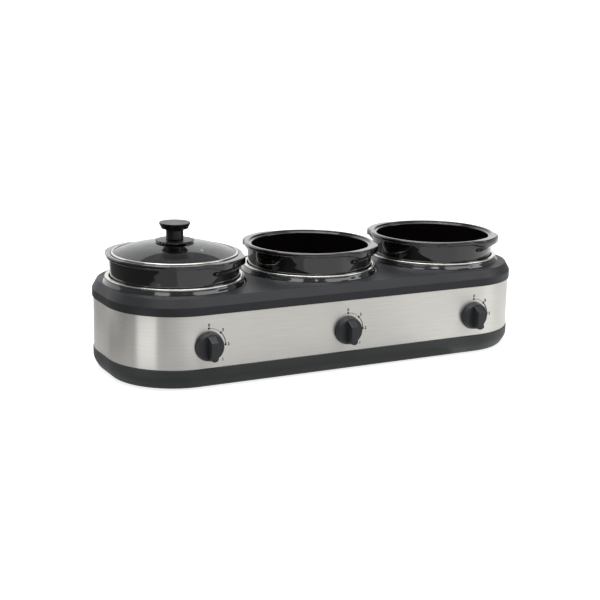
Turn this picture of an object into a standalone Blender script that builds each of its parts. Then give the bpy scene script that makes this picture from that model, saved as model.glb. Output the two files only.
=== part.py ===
"""Three-pot electric buffet server, modelled at rest in metres with +Z up.

Three stoneware crocks stand in three steel wells, which hang in one top cover. A brushed steel
band and a moulded tray close the housing below. Each well has its own dial, switch and heater.
The housing stands on the ground plane, with X along its length and the dials towards -Y.
"""

import math

import bmesh
import bpy
from mathutils import Matrix, Vector

# Clearances
TOUCH = 0.0003            # between pieces that rest on each other
RUNNING = 0.0003          # round a shaft in its bore
SLIP = 0.0015             # round a crock in its well

# Crocks
CROCK_RADIUS = 0.0920     # body, under the rim
CROCK_TAPER = 0.0035      # narrower by this at the foot
CROCK_HEIGHT = 0.1066
CROCK_SHOWN = 0.0305      # of that, above its well
CROCK_WALL = 0.0060
CROCK_FLOOR = 0.0070
CROCK_CORNER = 0.0080
CROCK_EDGE = 0.0010       # rounding of the rim and the foot
RIM_REACH = 0.0039        # rim beyond the body
RIM_HEIGHT = 0.0063
LEDGE_WIDTH = 0.0045      # step inside the rim that carries a lid
LEDGE_DEPTH = 0.0025
EAR_REACH = 0.0062        # lifting ears beyond the rim
EAR_DROP = 0.0135         # how far an ear runs down the body
EAR_UNDER = 0.8           # its reach under the rim, to its reach at the rim
EAR_HALF_ANGLE = 28.0      # degrees each side of its middle
EAR_BLEND_ANGLE = 14.0     # of those, blending into the rim
EAR_ANGLES = (-54.0, 126.0)

# Wells and their trim
WELL_WALL = 0.0008
WELL_GAP = 0.0110         # between neighbouring collars
BEAD_WIDTH = 0.0058
BEAD_RISE = 0.0029
BEAD_EDGE = 0.0006
COLLAR_RISE = 0.0058
COLLAR_FLARE = 0.0035     # wider at the deck than at the bead
COLLAR_ROUND = 0.0008

# Housing, seen from outside
DIAL_FLAT = 0.0105        # straight band beyond the last dial's axis
END_MARGIN = 0.0060       # collar to band, at the ends
SIDE_MARGIN = 0.0180      # collar to band, front and back
FOOT_HEIGHT = 0.0030
BASE_HEIGHT = 0.0272
BASE_PROUD = 0.0012       # tray beyond the band
BASE_TUCK = 0.0067        # how far the tray draws in at the bottom
BASE_ROUND = 0.0130       # height of that curve
BAND_THICKNESS = 0.0008
BAND_HIDDEN = 0.0088      # height inside the lip
LIP_OVERHANG = 0.0018
LIP_HEIGHT = 0.0115
BEVEL_RISE = 0.0120
BEVEL_INSET = 0.0068
COVER_WALL = 0.0023
LIP_ROUND = 0.0005

# Housing, inside
TRAY_FLOOR = 0.0025
TRAY_WALL = 0.0020
TRAY_EDGE = 0.0004        # rounding of its edges
UPSTAND = 0.0060          # the tray's rim inside the band
PILLAR_RADIUS = 0.0062
PILLAR_RISE = 0.0098      # above the tray's edge
PILLAR_ROOF = 0.0070      # left over the pocket for a screw head
PILLAR_INSET = 0.0165     # screw axis to the band's face
HEAD_POCKET = 0.0042      # radius of the pocket for a screw head
SCREW_RADIUS = 0.0018
SCREW_HEAD_RADIUS = 0.0036
SCREW_HEAD = 0.0022
SCREW_LENGTH = 0.0280
BOSS_RADIUS = 0.0045
SHIELD_THICKNESS = 0.0008
SHIELD_INSET = 0.0020
PAD_INSET = 0.0100        # smaller than a well's flat floor
PAD_THICKNESS = 0.0189
VENT_LENGTH = 0.0320
VENT_WIDTH = 0.0036
VENT_PITCH = 0.0120
VENT_ROWS = 4
FOOT_RADIUS = 0.0090
FOOT_INSET = 0.0420       # foot axis to the band, front and back
FOOT_END_INSET = 0.0664   # and at the ends
FOOT_DRAFT = 0.0018       # narrower where it stands
PEG_RADIUS = 0.0025

# Heaters
HEATER_HEIGHT = 0.0340
HEATER_LIFT = 0.0120      # above the well's floor
HEATER_THICKNESS = 0.0025
HEATER_GAP = 0.0008       # between the well and the heater
HEATER_SPLIT_ANGLE = 14.0
FUSE_RADIUS = 0.0020
FUSE_LENGTH = 0.0140
FUSE_ANGLE = -112.0
HEATER_LEAD_ANGLE = -76.0

# Dials, switches and shafts
DIAL_HEIGHT = 0.0310      # shaft axis above the band's lower edge
DIAL_RADIUS = 0.0208
DIAL_DRAFT = 0.0022       # narrower by this at its face
DIAL_LIFT = 0.0010        # skirt to band
DIAL_DEPTH = 0.0090
DIAL_WALL = 0.0018
DIAL_ROOF = 0.0011        # left over the shaft's bore
DIAL_EDGE = 0.0006
GRIP_WIDTH = 0.0114
GRIP_DRAFT = 0.0010
GRIP_HEIGHT = 0.0120      # beyond the dial's face
GRIP_ABOVE = 0.0167
GRIP_BELOW = 0.0178
GRIP_FACET = 0.0074       # length of the pointing facet
SHAFT_RADIUS = 0.0030
SHAFT_FLAT = 0.0008
BUSH_WALL = 0.0013
BUSH_REACH = 0.0042       # beyond the band
NUT_THICKNESS = 0.0023
NUT_ACROSS = 0.0140
HUB_WALL = 0.0024
SWITCH_WIDTH = 0.0260
SWITCH_HEIGHT = 0.0220
SWITCH_DEPTH = 0.0130
TAB_WIDTH = 0.0048
TAB_THICKNESS = 0.0008
TAB_LENGTH = 0.0050
TAB_PITCH = 0.0074

# Lid
LID_PLAY = 0.0012         # round the lid on its ledge
LID_RISE = 0.0145         # of the glass, edge to crown
GLASS_THICKNESS = 0.0035
LID_BAND_GAUGE = 0.0006
LID_BAND_LAP = 0.0030
GRIP_DISC_RADIUS = 0.0277
GRIP_DISC_THICKNESS = 0.0022
STEM_RADIUS = 0.0118
STEM_LENGTH = 0.0150
CAP_LOW_RADIUS = 0.0175
CAP_RADIUS = 0.0223
CAP_HEIGHT = 0.0090
CAP_CROWN = 0.0008
WASHER_RADIUS = 0.0160
WASHER_THICKNESS = 0.0012
LID_SCREW_RADIUS = 0.0025
LID_SCREW_HEAD_RADIUS = 0.0050
LID_SCREW_HEAD = 0.0024
LID_SCREW_LENGTH = 0.0150
FITTING_EDGE = 0.0006     # rounding of the knob, its disc and its screw

# Cord inlet and wiring
GLAND_HEIGHT = 0.0200     # bush axis above the band's lower edge
GLAND_PLACE = 0.5         # in well pitches, from the middle
GLAND_RADIUS = 0.0065
GLAND_FLANGE = 0.0022     # wider by this outside and inside
GLAND_FLANGE_THICKNESS = 0.0020
GLAND_SNOUT = 0.0080      # beyond the band
GLAND_TAPER = 0.0013      # of the snout
GLAND_BORE = 0.0036
BLOCK_LENGTH = 0.0300
BLOCK_DEPTH = 0.0160
BLOCK_HEIGHT = 0.0120
BLOCK_WAYS = 3
BLOCK_GAP = 0.0110        # to the screw boss behind it
WIRE_RADIUS = 0.0012
WIRE_LANE_INSET = 0.0320  # where the switch leads run, from the band's front
WIRE_LANE_PITCH = 0.0034
WIRE_BEND = 0.0300        # how far before a lane a lead begins to turn
WIRE_RISE = 0.0060        # of a lead below its tab
HEATER_LEAD_CLEAR = 0.0015

# Smoothness
CORNER_STEPS = 8
BASE_STEPS = 5            # round the tray's foot
TURN_STEPS = 28           # wells, crocks and what lines up with them
KNOB_STEPS = 24
SMALL_STEPS = 12
TINY_STEPS = 8

# Levels and outlines that follow from the values above
BASE_TOP = FOOT_HEIGHT + BASE_HEIGHT
BAND_BOTTOM = BASE_TOP + TOUCH
PILLAR_TOP = BASE_TOP + PILLAR_RISE
POCKET_TOP = PILLAR_TOP - PILLAR_ROOF
SHIELD_BOTTOM = PILLAR_TOP + TOUCH
SHIELD_TOP = SHIELD_BOTTOM + SHIELD_THICKNESS
PAD_TOP = SHIELD_TOP + TOUCH + PAD_THICKNESS
WELL_FLOOR = PAD_TOP + TOUCH + WELL_WALL
CROCK_FOOT = WELL_FLOOR + TOUCH
CROCK_TOP = CROCK_FOOT + CROCK_HEIGHT
RIM_UNDER = CROCK_TOP - RIM_HEIGHT
LEDGE = CROCK_TOP - LEDGE_DEPTH
BEAD_TOP = CROCK_TOP - CROCK_SHOWN
COLLAR_TOP = BEAD_TOP - BEAD_RISE - TOUCH
DECK = COLLAR_TOP - COLLAR_RISE - TOUCH
LIP_TOP = DECK - BEVEL_RISE
LIP_BOTTOM = LIP_TOP - LIP_HEIGHT
RIM_RADIUS = CROCK_RADIUS + RIM_REACH
INNER_RADIUS = CROCK_RADIUS - CROCK_WALL
LEDGE_RADIUS = INNER_RADIUS + LEDGE_WIDTH
LID_RADIUS = LEDGE_RADIUS - LID_PLAY


def crock_radius(z):
    """Outside radius of a crock's body at height z: a straight taper from rim to foot."""
    share = (RIM_UNDER - z) / (RIM_UNDER - CROCK_FOOT)
    return CROCK_RADIUS - CROCK_TAPER * share


def well_radius(z):
    """Inside radius of a well at height z, one slip clearance round the crock."""
    return crock_radius(z) + SLIP


PAD_RADIUS = well_radius(WELL_FLOOR) - CROCK_CORNER - PAD_INSET
BEAD_INNER = well_radius(BEAD_TOP)
BEAD_OUTER = BEAD_INNER + BEAD_WIDTH
COLLAR_BORE = BEAD_INNER + WELL_WALL + 2 * TOUCH
COLLAR_RADIUS = BEAD_OUTER + COLLAR_FLARE
CORNER_RADIUS = COLLAR_RADIUS + END_MARGIN - DIAL_FLAT
WELL_PITCH = 2 * COLLAR_RADIUS + WELL_GAP
HALF_LENGTH = WELL_PITCH + COLLAR_RADIUS + END_MARGIN
HALF_DEPTH = COLLAR_RADIUS + SIDE_MARGIN
WELLS = (("left", -WELL_PITCH), ("centre", 0.0), ("right", WELL_PITCH))
DIAL_Z = BAND_BOTTOM + DIAL_HEIGHT
DIAL_FACE = DIAL_LIFT + DIAL_DEPTH
DIAL_FACE_RADIUS = DIAL_RADIUS - DIAL_DRAFT
DIAL_REACH = DIAL_FACE + GRIP_HEIGHT
HOUSING_Y = (DIAL_REACH - GLAND_SNOUT) / 2
GLAND_X = GLAND_PLACE * WELL_PITCH
GLAND_Z = BAND_BOTTOM + GLAND_HEIGHT
BLOCK_Y = HALF_DEPTH - PILLAR_INSET - BOSS_RADIUS - BLOCK_GAP - BLOCK_DEPTH / 2
BUSH_RADIUS = SHAFT_RADIUS + RUNNING + BUSH_WALL
GLASS_RADIUS = LID_RADIUS - LID_BAND_GAUGE - TOUCH
GLASS_LAP = GLASS_RADIUS - LID_BAND_LAP
CROWN = LEDGE + TOUCH + LID_BAND_GAUGE + TOUCH + LID_RISE
LID_BORE = LID_SCREW_RADIUS + 2 * RUNNING


# Scene and materials

for old in list(bpy.data.objects):
    bpy.data.objects.remove(old)


def material(name, colour, roughness, metallic=0.0):
    """A Principled material in one plain finish."""
    made = bpy.data.materials.new(name)
    made.use_nodes = True
    shader = made.node_tree.nodes["Principled BSDF"]
    shader.inputs["Base Color"].default_value = (*colour, 1.0)
    shader.inputs["Roughness"].default_value = roughness
    shader.inputs["Metallic"].default_value = metallic
    return made


COVER_FINISH = material("charcoal_paint", (0.045, 0.047, 0.052), 0.38)
BASE_FINISH = material("charcoal_plastic", (0.042, 0.045, 0.045), 0.48)
BAND_FINISH = material("brushed_steel", (0.62, 0.61, 0.58), 0.30, 1.0)
STEEL = material("bright_steel", (0.66, 0.66, 0.65), 0.18, 1.0)
ZINC = material("zinc_plated_steel", (0.55, 0.56, 0.58), 0.35, 1.0)
GLAZE = material("black_glaze", (0.012, 0.010, 0.009), 0.08)
COLLAR_FINISH = material("black_enamel", (0.03, 0.032, 0.036), 0.12)
KNOB_PLASTIC = material("dial_plastic", (0.05, 0.052, 0.054), 0.42)
LID_PLASTIC = material("lid_plastic", (0.02, 0.021, 0.023), 0.30)
GLASS = material("clear_glass", (0.90, 0.95, 0.95), 0.03)
RUBBER = material("black_rubber", (0.02, 0.02, 0.02), 0.75)
NYLON = material("white_nylon", (0.70, 0.70, 0.66), 0.45)
MICA = material("mica_heater", (0.45, 0.40, 0.32), 0.55)
FIBRE = material("ceramic_fibre", (0.80, 0.78, 0.72), 0.95)
SHEET = material("aluminium_sheet", (0.70, 0.71, 0.72), 0.35, 1.0)
WIRE = material("silicone_wire", (0.55, 0.05, 0.04), 0.50)


def empty(name, place, parent=None):
    """An axis or origin that other objects hang on."""
    made = bpy.data.objects.new(name, None)
    made.location = place
    made.parent = parent
    bpy.context.scene.collection.objects.link(made)
    return made


HOUSING = empty("housing_origin", (0.0, HOUSING_Y, 0.0))


def finish(bm, name, finish_material, parent=HOUSING, place=(0.0, 0.0, 0.0), smooth=35.0):
    """Turns a closed bmesh into a named object with its faces outwards."""
    bmesh.ops.recalc_face_normals(bm, faces=bm.faces)
    mesh = bpy.data.meshes.new(name)
    bm.to_mesh(mesh)
    bm.free()
    mesh.materials.append(finish_material)
    mesh.shade_smooth()
    mesh.set_sharp_from_angle(angle=math.radians(smooth))
    made = bpy.data.objects.new(name, mesh)
    made.location = place
    made.parent = parent
    bpy.context.scene.collection.objects.link(made)
    return made


# Mesh tools

def circle(radius, steps, centre=(0.0, 0.0)):
    """Points of a circle in the plane, counter-clockwise from +X."""
    cx, cy = centre
    angles = [2 * math.pi * i / steps for i in range(steps)]
    return [(cx + radius * math.cos(angle), cy + radius * math.sin(angle)) for angle in angles]


def box_outline(width, height, centre=(0.0, 0.0)):
    """Corners of a rectangle, counter-clockwise."""
    cx, cy = centre
    w = width / 2
    h = height / 2
    return [(cx - w, cy - h), (cx + w, cy - h), (cx + w, cy + h), (cx - w, cy + h)]


def housing_outline(offset):
    """The band's rounded rectangle grown by offset: four corner arcs joined by straight sides."""
    across = HALF_LENGTH - CORNER_RADIUS
    along = HALF_DEPTH - CORNER_RADIUS
    radius = CORNER_RADIUS + offset
    corners = ((across, -along, -90), (across, along, 0), (-across, along, 90), (-across, -along, 180))
    points = []
    for cx, cy, start in corners:
        for step in range(CORNER_STEPS + 1):
            angle = math.radians(start + 90 * step / CORNER_STEPS)
            points.append((cx + radius * math.cos(angle), cy + radius * math.sin(angle)))
    return points


def loop(bm, points, z):
    """Vertices at height z over a list of plane points."""
    return [bm.verts.new((x, y, z)) for x, y in points]


def loft(bm, loops, closed=False):
    """Joins neighbouring loops of equal length with quads."""
    following = loops[1:] + loops[:1] if closed else loops[1:]
    for lower, upper in zip(loops, following):
        for i in range(len(lower)):
            j = (i + 1) % len(lower)
            bm.faces.new((lower[i], lower[j], upper[j], upper[i]))


def cap(bm, *loops, normal=(0.0, 0.0, 1.0)):
    """Fills a flat area between an outer loop and any holes in it."""
    edges = []
    for ring in loops:
        for i in range(len(ring)):
            pair = (ring[i], ring[(i + 1) % len(ring)])
            edges.append(bm.edges.get(pair) or bm.edges.new(pair))
    bmesh.ops.triangle_fill(bm, use_beauty=True, use_dissolve=False, edges=edges, normal=normal)


def turned(profile, steps, closed=False):
    """A body turned about Z from (radius, height) points. A closed profile makes a ring."""
    bm = bmesh.new()
    verts = [bm.verts.new((radius, 0.0, z)) for radius, z in profile]
    edges = [bm.edges.new(pair) for pair in zip(verts, verts[1:])]
    if closed:
        edges.append(bm.edges.new((verts[-1], verts[0])))
    bmesh.ops.spin(
        bm,
        geom=verts + edges,
        cent=(0, 0, 0),
        axis=(0, 0, 1),
        angle=2 * math.pi,
        steps=steps,
        use_merge=True,
    )
    bmesh.ops.remove_doubles(bm, verts=bm.verts, dist=1e-6)
    return bm


def face_front(bm):
    """Turns a body made along +Z to point along -Y, with its own +Y upwards."""
    bmesh.ops.rotate(bm, verts=bm.verts, cent=(0, 0, 0), matrix=Matrix.Rotation(math.pi / 2, 3, "X"))
    return bm


def face_back(bm):
    """Turns a body made along +Z to point along +Y, with its own -Y upwards."""
    bmesh.ops.rotate(bm, verts=bm.verts, cent=(0, 0, 0), matrix=Matrix.Rotation(-math.pi / 2, 3, "X"))
    return bm


# Places that several pieces share

def screw_places():
    """Axes of the case screws: one in each corner, and one in each waist between two wells."""
    across = HALF_LENGTH - CORNER_RADIUS
    along = HALF_DEPTH - CORNER_RADIUS
    diagonal = (CORNER_RADIUS - PILLAR_INSET) * math.sqrt(0.5)
    places = []
    for sx in (-1, 1):
        for sy in (-1, 1):
            places.append((sx * (across + diagonal), sy * (along + diagonal)))
            places.append((sx * WELL_PITCH / 2, sy * (HALF_DEPTH - PILLAR_INSET)))
    return places


def foot_places():
    """Axes of the four rubber feet."""
    across = HALF_LENGTH - FOOT_END_INSET
    along = HALF_DEPTH - FOOT_INSET
    return [(sx * across, sy * along) for sx in (-1, 1) for sy in (-1, 1)]


def vent_places():
    """Centres of the slots in the tray's floor, a short stack under each well."""
    first = -(VENT_ROWS - 1) / 2
    return [(x, (first + row) * VENT_PITCH) for _, x in WELLS for row in range(VENT_ROWS)]


SCREWS = screw_places()


# Housing

def make_tray():
    """Moulded tray: skirt, floor with vents and foot holes, screw pillars and an upstand for the band."""
    bm = bmesh.new()
    bottom = FOOT_HEIGHT
    floor = bottom + TRAY_FLOOR
    curve = []
    for step in range(1, BASE_STEPS):
        angle = math.radians(90 * step / BASE_STEPS)
        drawn_in = (BASE_TUCK + BASE_PROUD) * (1 - math.cos(angle))
        curve.append((BASE_PROUD - drawn_in, bottom + BASE_ROUND * (1 - math.sin(angle))))
    upstand_face = -BAND_THICKNESS - TOUCH
    inner = upstand_face - TRAY_WALL
    profile = [
        (BASE_PROUD - TRAY_EDGE, BASE_TOP),
        (BASE_PROUD, BASE_TOP - TRAY_EDGE),
        (BASE_PROUD, bottom + BASE_ROUND),
        *curve,
        (-BASE_TUCK - 2 * TRAY_EDGE, bottom),
    ]
    outside = [loop(bm, housing_outline(offset), z) for offset, z in profile]
    rim = [(upstand_face, BASE_TOP), (upstand_face, BASE_TOP + UPSTAND), (inner, BASE_TOP + UPSTAND)]
    rim += [(inner, bottom + BASE_ROUND), (-BASE_TUCK - TRAY_WALL, floor)]
    inside = [loop(bm, housing_outline(offset), z) for offset, z in rim]
    loft(bm, outside)
    loft(bm, [outside[0]] + inside)
    under_holes = []
    floor_holes = []
    for place in SCREWS:
        pocket = circle(HEAD_POCKET, TINY_STEPS, place)
        bore = circle(SCREW_RADIUS + 2 * RUNNING, TINY_STEPS, place)
        pillar = circle(PILLAR_RADIUS, TINY_STEPS, place)
        stack = [loop(bm, pocket, bottom), loop(bm, pocket, POCKET_TOP)]
        stack += [loop(bm, bore, POCKET_TOP), loop(bm, bore, PILLAR_TOP)]
        stack += [loop(bm, pillar, PILLAR_TOP), loop(bm, pillar, floor)]
        loft(bm, stack)
        under_holes.append(stack[0])
        floor_holes.append(stack[-1])
    through = [circle(PEG_RADIUS + RUNNING, TINY_STEPS, place) for place in foot_places()]
    through += [box_outline(VENT_LENGTH, VENT_WIDTH, place) for place in vent_places()]
    for points in through:
        stack = [loop(bm, points, bottom), loop(bm, points, floor)]
        loft(bm, stack)
        under_holes.append(stack[0])
        floor_holes.append(stack[1])
    cap(bm, outside[-1], *under_holes)
    cap(bm, inside[-1], *floor_holes)
    return finish(bm, "base_tray", BASE_FINISH)


def make_band():
    """Steel band: one closed wrap, with three shaft holes in front and the cord hole behind."""
    bm = bmesh.new()
    low = BAND_BOTTOM
    high = LIP_BOTTOM + BAND_HIDDEN
    rings = {}
    for side, offset in (("out", 0.0), ("in", -BAND_THICKNESS)):
        points = housing_outline(offset)
        rings[side] = (loop(bm, points, low), loop(bm, points, high))
    count = len(rings["out"][0])
    front = count - 1
    back = 2 * CORNER_STEPS + 1
    for lower, upper in rings.values():
        for i in range(count):
            if i in (front, back):
                continue
            j = (i + 1) % count
            bm.faces.new((lower[i], lower[j], upper[j], upper[i]))
    loft(bm, [rings["out"][0], rings["in"][0]])
    loft(bm, [rings["out"][1], rings["in"][1]])
    dial_holes = [(x, DIAL_Z, BUSH_RADIUS + RUNNING) for _, x in WELLS]
    gland_hole = [(GLAND_X, GLAND_Z, GLAND_RADIUS + RUNNING)]
    for panel, sign, holes in ((front, -1, dial_holes), (back, 1, gland_hole)):
        bores = []
        for x, z, radius in holes:
            points = circle(radius, SMALL_STEPS, (x, z))
            bores.append([
                [bm.verts.new((px, sign * y, pz)) for px, pz in points]
                for y in (HALF_DEPTH, HALF_DEPTH - BAND_THICKNESS)
            ])
        for bore in bores:
            loft(bm, bore)
        for layer, side in enumerate(("out", "in")):
            lower, upper = rings[side]
            j = (panel + 1) % count
            quad = [lower[panel], lower[j], upper[j], upper[panel]]
            cap(bm, quad, *[bore[layer] for bore in bores], normal=(0.0, sign, 0.0))
    return finish(bm, "steel_band", BAND_FINISH)


def make_cover():
    """Top cover: lip, bevel and flat deck with three well openings, and screw bosses underneath."""
    bm = bmesh.new()
    lip = LIP_OVERHANG
    under_deck = DECK - COVER_WALL
    slope = math.hypot(BEVEL_RISE, BEVEL_INSET)
    drop = COVER_WALL * BEVEL_RISE / slope
    profile = [
        (lip - BEVEL_INSET, DECK),
        (lip - LIP_ROUND, LIP_TOP + LIP_ROUND),
        (lip, LIP_TOP - LIP_ROUND),
        (lip, LIP_BOTTOM),
        (TOUCH, LIP_BOTTOM),
        (TOUCH, LIP_TOP - drop),
        (lip - BEVEL_INSET - drop / 2, under_deck),
    ]
    loops = [loop(bm, housing_outline(offset), z) for offset, z in profile]
    loft(bm, loops)
    deck_holes = []
    under_holes = []
    for _, x in WELLS:
        points = circle(COLLAR_BORE, TURN_STEPS, (x, 0.0))
        bore = [loop(bm, points, DECK), loop(bm, points, under_deck)]
        loft(bm, bore)
        deck_holes.append(bore[0])
        under_holes.append(bore[1])
    for place in SCREWS:
        outer = circle(BOSS_RADIUS, TINY_STEPS, place)
        inner = circle(SCREW_RADIUS + RUNNING, TINY_STEPS, place)
        foot = SHIELD_TOP + TOUCH
        screw_end = POCKET_TOP + SCREW_LENGTH
        stack = [loop(bm, outer, under_deck), loop(bm, outer, foot)]
        stack += [loop(bm, inner, foot), loop(bm, inner, screw_end + 2 * RUNNING)]
        loft(bm, stack)
        cap(bm, stack[-1])
        under_holes.append(stack[0])
    cap(bm, loops[0], *deck_holes)
    cap(bm, loops[-1], *under_holes)
    return finish(bm, "top_cover", COVER_FINISH)


def make_shield():
    """Flat sheet over the tray's pillars, which keeps the heat off the plastic."""
    bm = bmesh.new()
    outline = housing_outline(-SHIELD_INSET)
    sheet = [loop(bm, outline, SHIELD_BOTTOM), loop(bm, outline, SHIELD_TOP)]
    loft(bm, sheet)
    holes = []
    for place in SCREWS:
        points = circle(SCREW_RADIUS + 2 * RUNNING, TINY_STEPS, place)
        bore = [loop(bm, points, SHIELD_BOTTOM), loop(bm, points, SHIELD_TOP)]
        loft(bm, bore)
        holes.append(bore)
    cap(bm, sheet[0], *[bore[0] for bore in holes])
    cap(bm, sheet[1], *[bore[1] for bore in holes])
    return finish(bm, "heat_shield", SHEET)


def make_case_screw(number, place):
    """Screw from below, through the tray and the shield into a boss of the cover."""
    seat = POCKET_TOP - TOUCH
    head = seat - SCREW_HEAD
    tip = seat + SCREW_LENGTH
    recess = SCREW_HEAD_RADIUS / 2
    profile = [
        (0.0, head + SCREW_HEAD / 2),
        (recess, head + SCREW_HEAD / 2),
        (recess, head),
        (SCREW_HEAD_RADIUS, head + TOUCH),
        (SCREW_HEAD_RADIUS, seat),
        (SCREW_RADIUS, seat),
        (SCREW_RADIUS, tip - SCREW_RADIUS),
        (0.0, tip),
    ]
    return finish(turned(profile, TINY_STEPS), f"case_screw_{number}", ZINC, place=(*place, 0.0))


def make_foot(name, place):
    """Rubber foot: a tapered pad with a peg through the tray's floor."""
    top = FOOT_HEIGHT - TOUCH
    profile = [
        (0.0, 0.0),
        (FOOT_RADIUS - FOOT_DRAFT, 0.0),
        (FOOT_RADIUS, top / 2),
        (FOOT_RADIUS, top),
        (PEG_RADIUS, top),
        (PEG_RADIUS, FOOT_HEIGHT + TRAY_FLOOR + TOUCH),
        (0.0, FOOT_HEIGHT + TRAY_FLOOR + TOUCH),
    ]
    return finish(turned(profile, SMALL_STEPS), name, RUBBER, place=(*place, 0.0))


# Wells, heaters and crocks

def make_well(side, x):
    """Pressed steel well: cup with a rolled bead that rests on its collar."""
    corner = CROCK_CORNER
    bead_under = COLLAR_TOP + TOUCH
    wall_foot = WELL_FLOOR + corner
    floor_edge = well_radius(WELL_FLOOR) - corner / 2
    profile = [
        (0.0, WELL_FLOOR),
        (floor_edge, WELL_FLOOR),
        (well_radius(wall_foot), wall_foot),
        (BEAD_INNER, BEAD_TOP - BEAD_EDGE),
        (BEAD_INNER + BEAD_EDGE, BEAD_TOP),
        (BEAD_OUTER - BEAD_EDGE, bead_under + 2 * BEAD_EDGE),
        (BEAD_OUTER, bead_under),
        (BEAD_INNER + WELL_WALL, bead_under),
        (well_radius(wall_foot) + WELL_WALL, wall_foot),
        (floor_edge, WELL_FLOOR - WELL_WALL),
        (0.0, WELL_FLOOR - WELL_WALL),
    ]
    return finish(turned(profile, TURN_STEPS), f"well_{side}", STEEL, place=(x, 0.0, 0.0))


def make_collar(side, x):
    """Glossy trim ring between the deck and a well's bead."""
    low = DECK + TOUCH
    profile = [
        (COLLAR_RADIUS, low),
        (BEAD_OUTER + COLLAR_ROUND, COLLAR_TOP - COLLAR_ROUND),
        (BEAD_OUTER, COLLAR_TOP),
        (COLLAR_BORE, COLLAR_TOP),
        (COLLAR_BORE, low),
    ]
    bm = turned(profile, TURN_STEPS, closed=True)
    return finish(bm, f"collar_{side}", COLLAR_FINISH, place=(x, 0.0, 0.0))


def heater_wall(z):
    """Inside radius of a heater at height z, clear of the well's outer wall."""
    return well_radius(z) + WELL_WALL + HEATER_GAP


def make_heater(side, x):
    """Band heater round the well's lower wall, split at the back."""
    low = WELL_FLOOR + HEATER_LIFT
    high = low + HEATER_HEIGHT
    section = [
        (heater_wall(low), low),
        (heater_wall(low) + HEATER_THICKNESS, low),
        (heater_wall(high) + HEATER_THICKNESS, high),
        (heater_wall(high), high),
    ]
    bm = bmesh.new()
    start = 90 + HEATER_SPLIT_ANGLE / 2
    sweep = 360 - HEATER_SPLIT_ANGLE
    slices = []
    for step in range(TURN_STEPS + 1):
        angle = math.radians(start + sweep * step / TURN_STEPS)
        slices.append([bm.verts.new((r * math.cos(angle), r * math.sin(angle), z)) for r, z in section])
    loft(bm, slices)
    bm.faces.new(slices[0])
    bm.faces.new(slices[-1])
    return finish(bm, f"heater_{side}", MICA, place=(x, 0.0, 0.0))


def make_fuse(side, x):
    """Thermal fuse standing against the heater."""
    low = WELL_FLOOR + HEATER_LIFT + TOUCH
    high = low + FUSE_LENGTH
    distance = heater_wall(high) + HEATER_THICKNESS + FUSE_RADIUS + 2 * TOUCH
    angle = math.radians(FUSE_ANGLE)
    place = (x + distance * math.cos(angle), distance * math.sin(angle), 0.0)
    lead = FUSE_RADIUS / 4
    profile = [
        (0.0, low - FUSE_RADIUS),
        (lead, low - FUSE_RADIUS),
        (lead, low),
        (FUSE_RADIUS, low),
        (FUSE_RADIUS, high - FUSE_RADIUS),
        (lead, high),
        (lead, high + FUSE_RADIUS),
        (0.0, high + FUSE_RADIUS),
    ]
    return finish(turned(profile, TINY_STEPS), f"thermal_fuse_{side}", STEEL, place=place)


def make_pad(side, x):
    """Fibre pad between the shield and the underside of a well."""
    low = SHIELD_TOP + TOUCH
    profile = [(0.0, low), (PAD_RADIUS, low), (PAD_RADIUS, PAD_TOP), (0.0, PAD_TOP)]
    return finish(turned(profile, TURN_STEPS), f"insulation_pad_{side}", FIBRE, place=(x, 0.0, 0.0))


def ear_share(angle):
    """How much of the full ear stands out at an angle: one on the ear, blending to zero beside it."""
    share = 0.0
    for middle in EAR_ANGLES:
        away = abs((angle - middle + 180) % 360 - 180)
        rise = min(max((EAR_HALF_ANGLE - away) / EAR_BLEND_ANGLE, 0.0), 1.0)
        share = max(share, rise * rise * (3 - 2 * rise))
    return share


def make_crock(side, axis):
    """Glazed stoneware pot with a flat rim, a ledge for the lid and two lifting ears."""
    corner = CROCK_CORNER
    foot_radius = crock_radius(CROCK_FOOT) - corner
    ear_foot = RIM_UNDER - EAR_DROP
    edge = CROCK_EDGE
    floor = CROCK_FOOT + CROCK_FLOOR
    inside_low = crock_radius(floor) - CROCK_WALL
    diagonal = math.sqrt(0.5)
    outside = [
        (0.0, CROCK_FOOT + edge, 0.0),
        (foot_radius - 2 * edge, CROCK_FOOT + edge, 0.0),
        (foot_radius, CROCK_FOOT, 0.0),
        (foot_radius + corner * diagonal, CROCK_FOOT + corner * (1 - diagonal), 0.0),
        (crock_radius(CROCK_FOOT + corner), CROCK_FOOT + corner, 0.0),
        (crock_radius(ear_foot), ear_foot, 0.0),
        (CROCK_RADIUS, RIM_UNDER, EAR_UNDER),
        (RIM_RADIUS, RIM_UNDER + edge, 1.0),
        (RIM_RADIUS, CROCK_TOP - edge, 1.0),
        (RIM_RADIUS - edge, CROCK_TOP, 1.0),
    ]
    inside = [
        (LEDGE_RADIUS, CROCK_TOP, 0.0),
        (LEDGE_RADIUS, LEDGE, 0.0),
        (INNER_RADIUS, LEDGE, 0.0),
        (inside_low, floor + corner, 0.0),
        (inside_low - corner, floor, 0.0),
        (0.0, floor, 0.0),
    ]
    bm = bmesh.new()
    rings = []
    for radius, z, share in outside + inside:
        if radius == 0.0:
            rings.append([bm.verts.new((0.0, 0.0, z))])
            continue
        ring = []
        for i in range(TURN_STEPS):
            angle = 360 * i / TURN_STEPS
            reach = radius + share * EAR_REACH * ear_share(angle)
            turn = math.radians(angle)
            ring.append(bm.verts.new((reach * math.cos(turn), reach * math.sin(turn), z)))
        rings.append(ring)
    loft(bm, rings[1:-1])
    for pole, ring in ((rings[0][0], rings[1]), (rings[-1][0], rings[-2])):
        for i in range(TURN_STEPS):
            bm.faces.new((pole, ring[i], ring[(i + 1) % TURN_STEPS]))
    return finish(bm, f"crock_{side}", GLAZE, parent=axis)


# Lid

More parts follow.
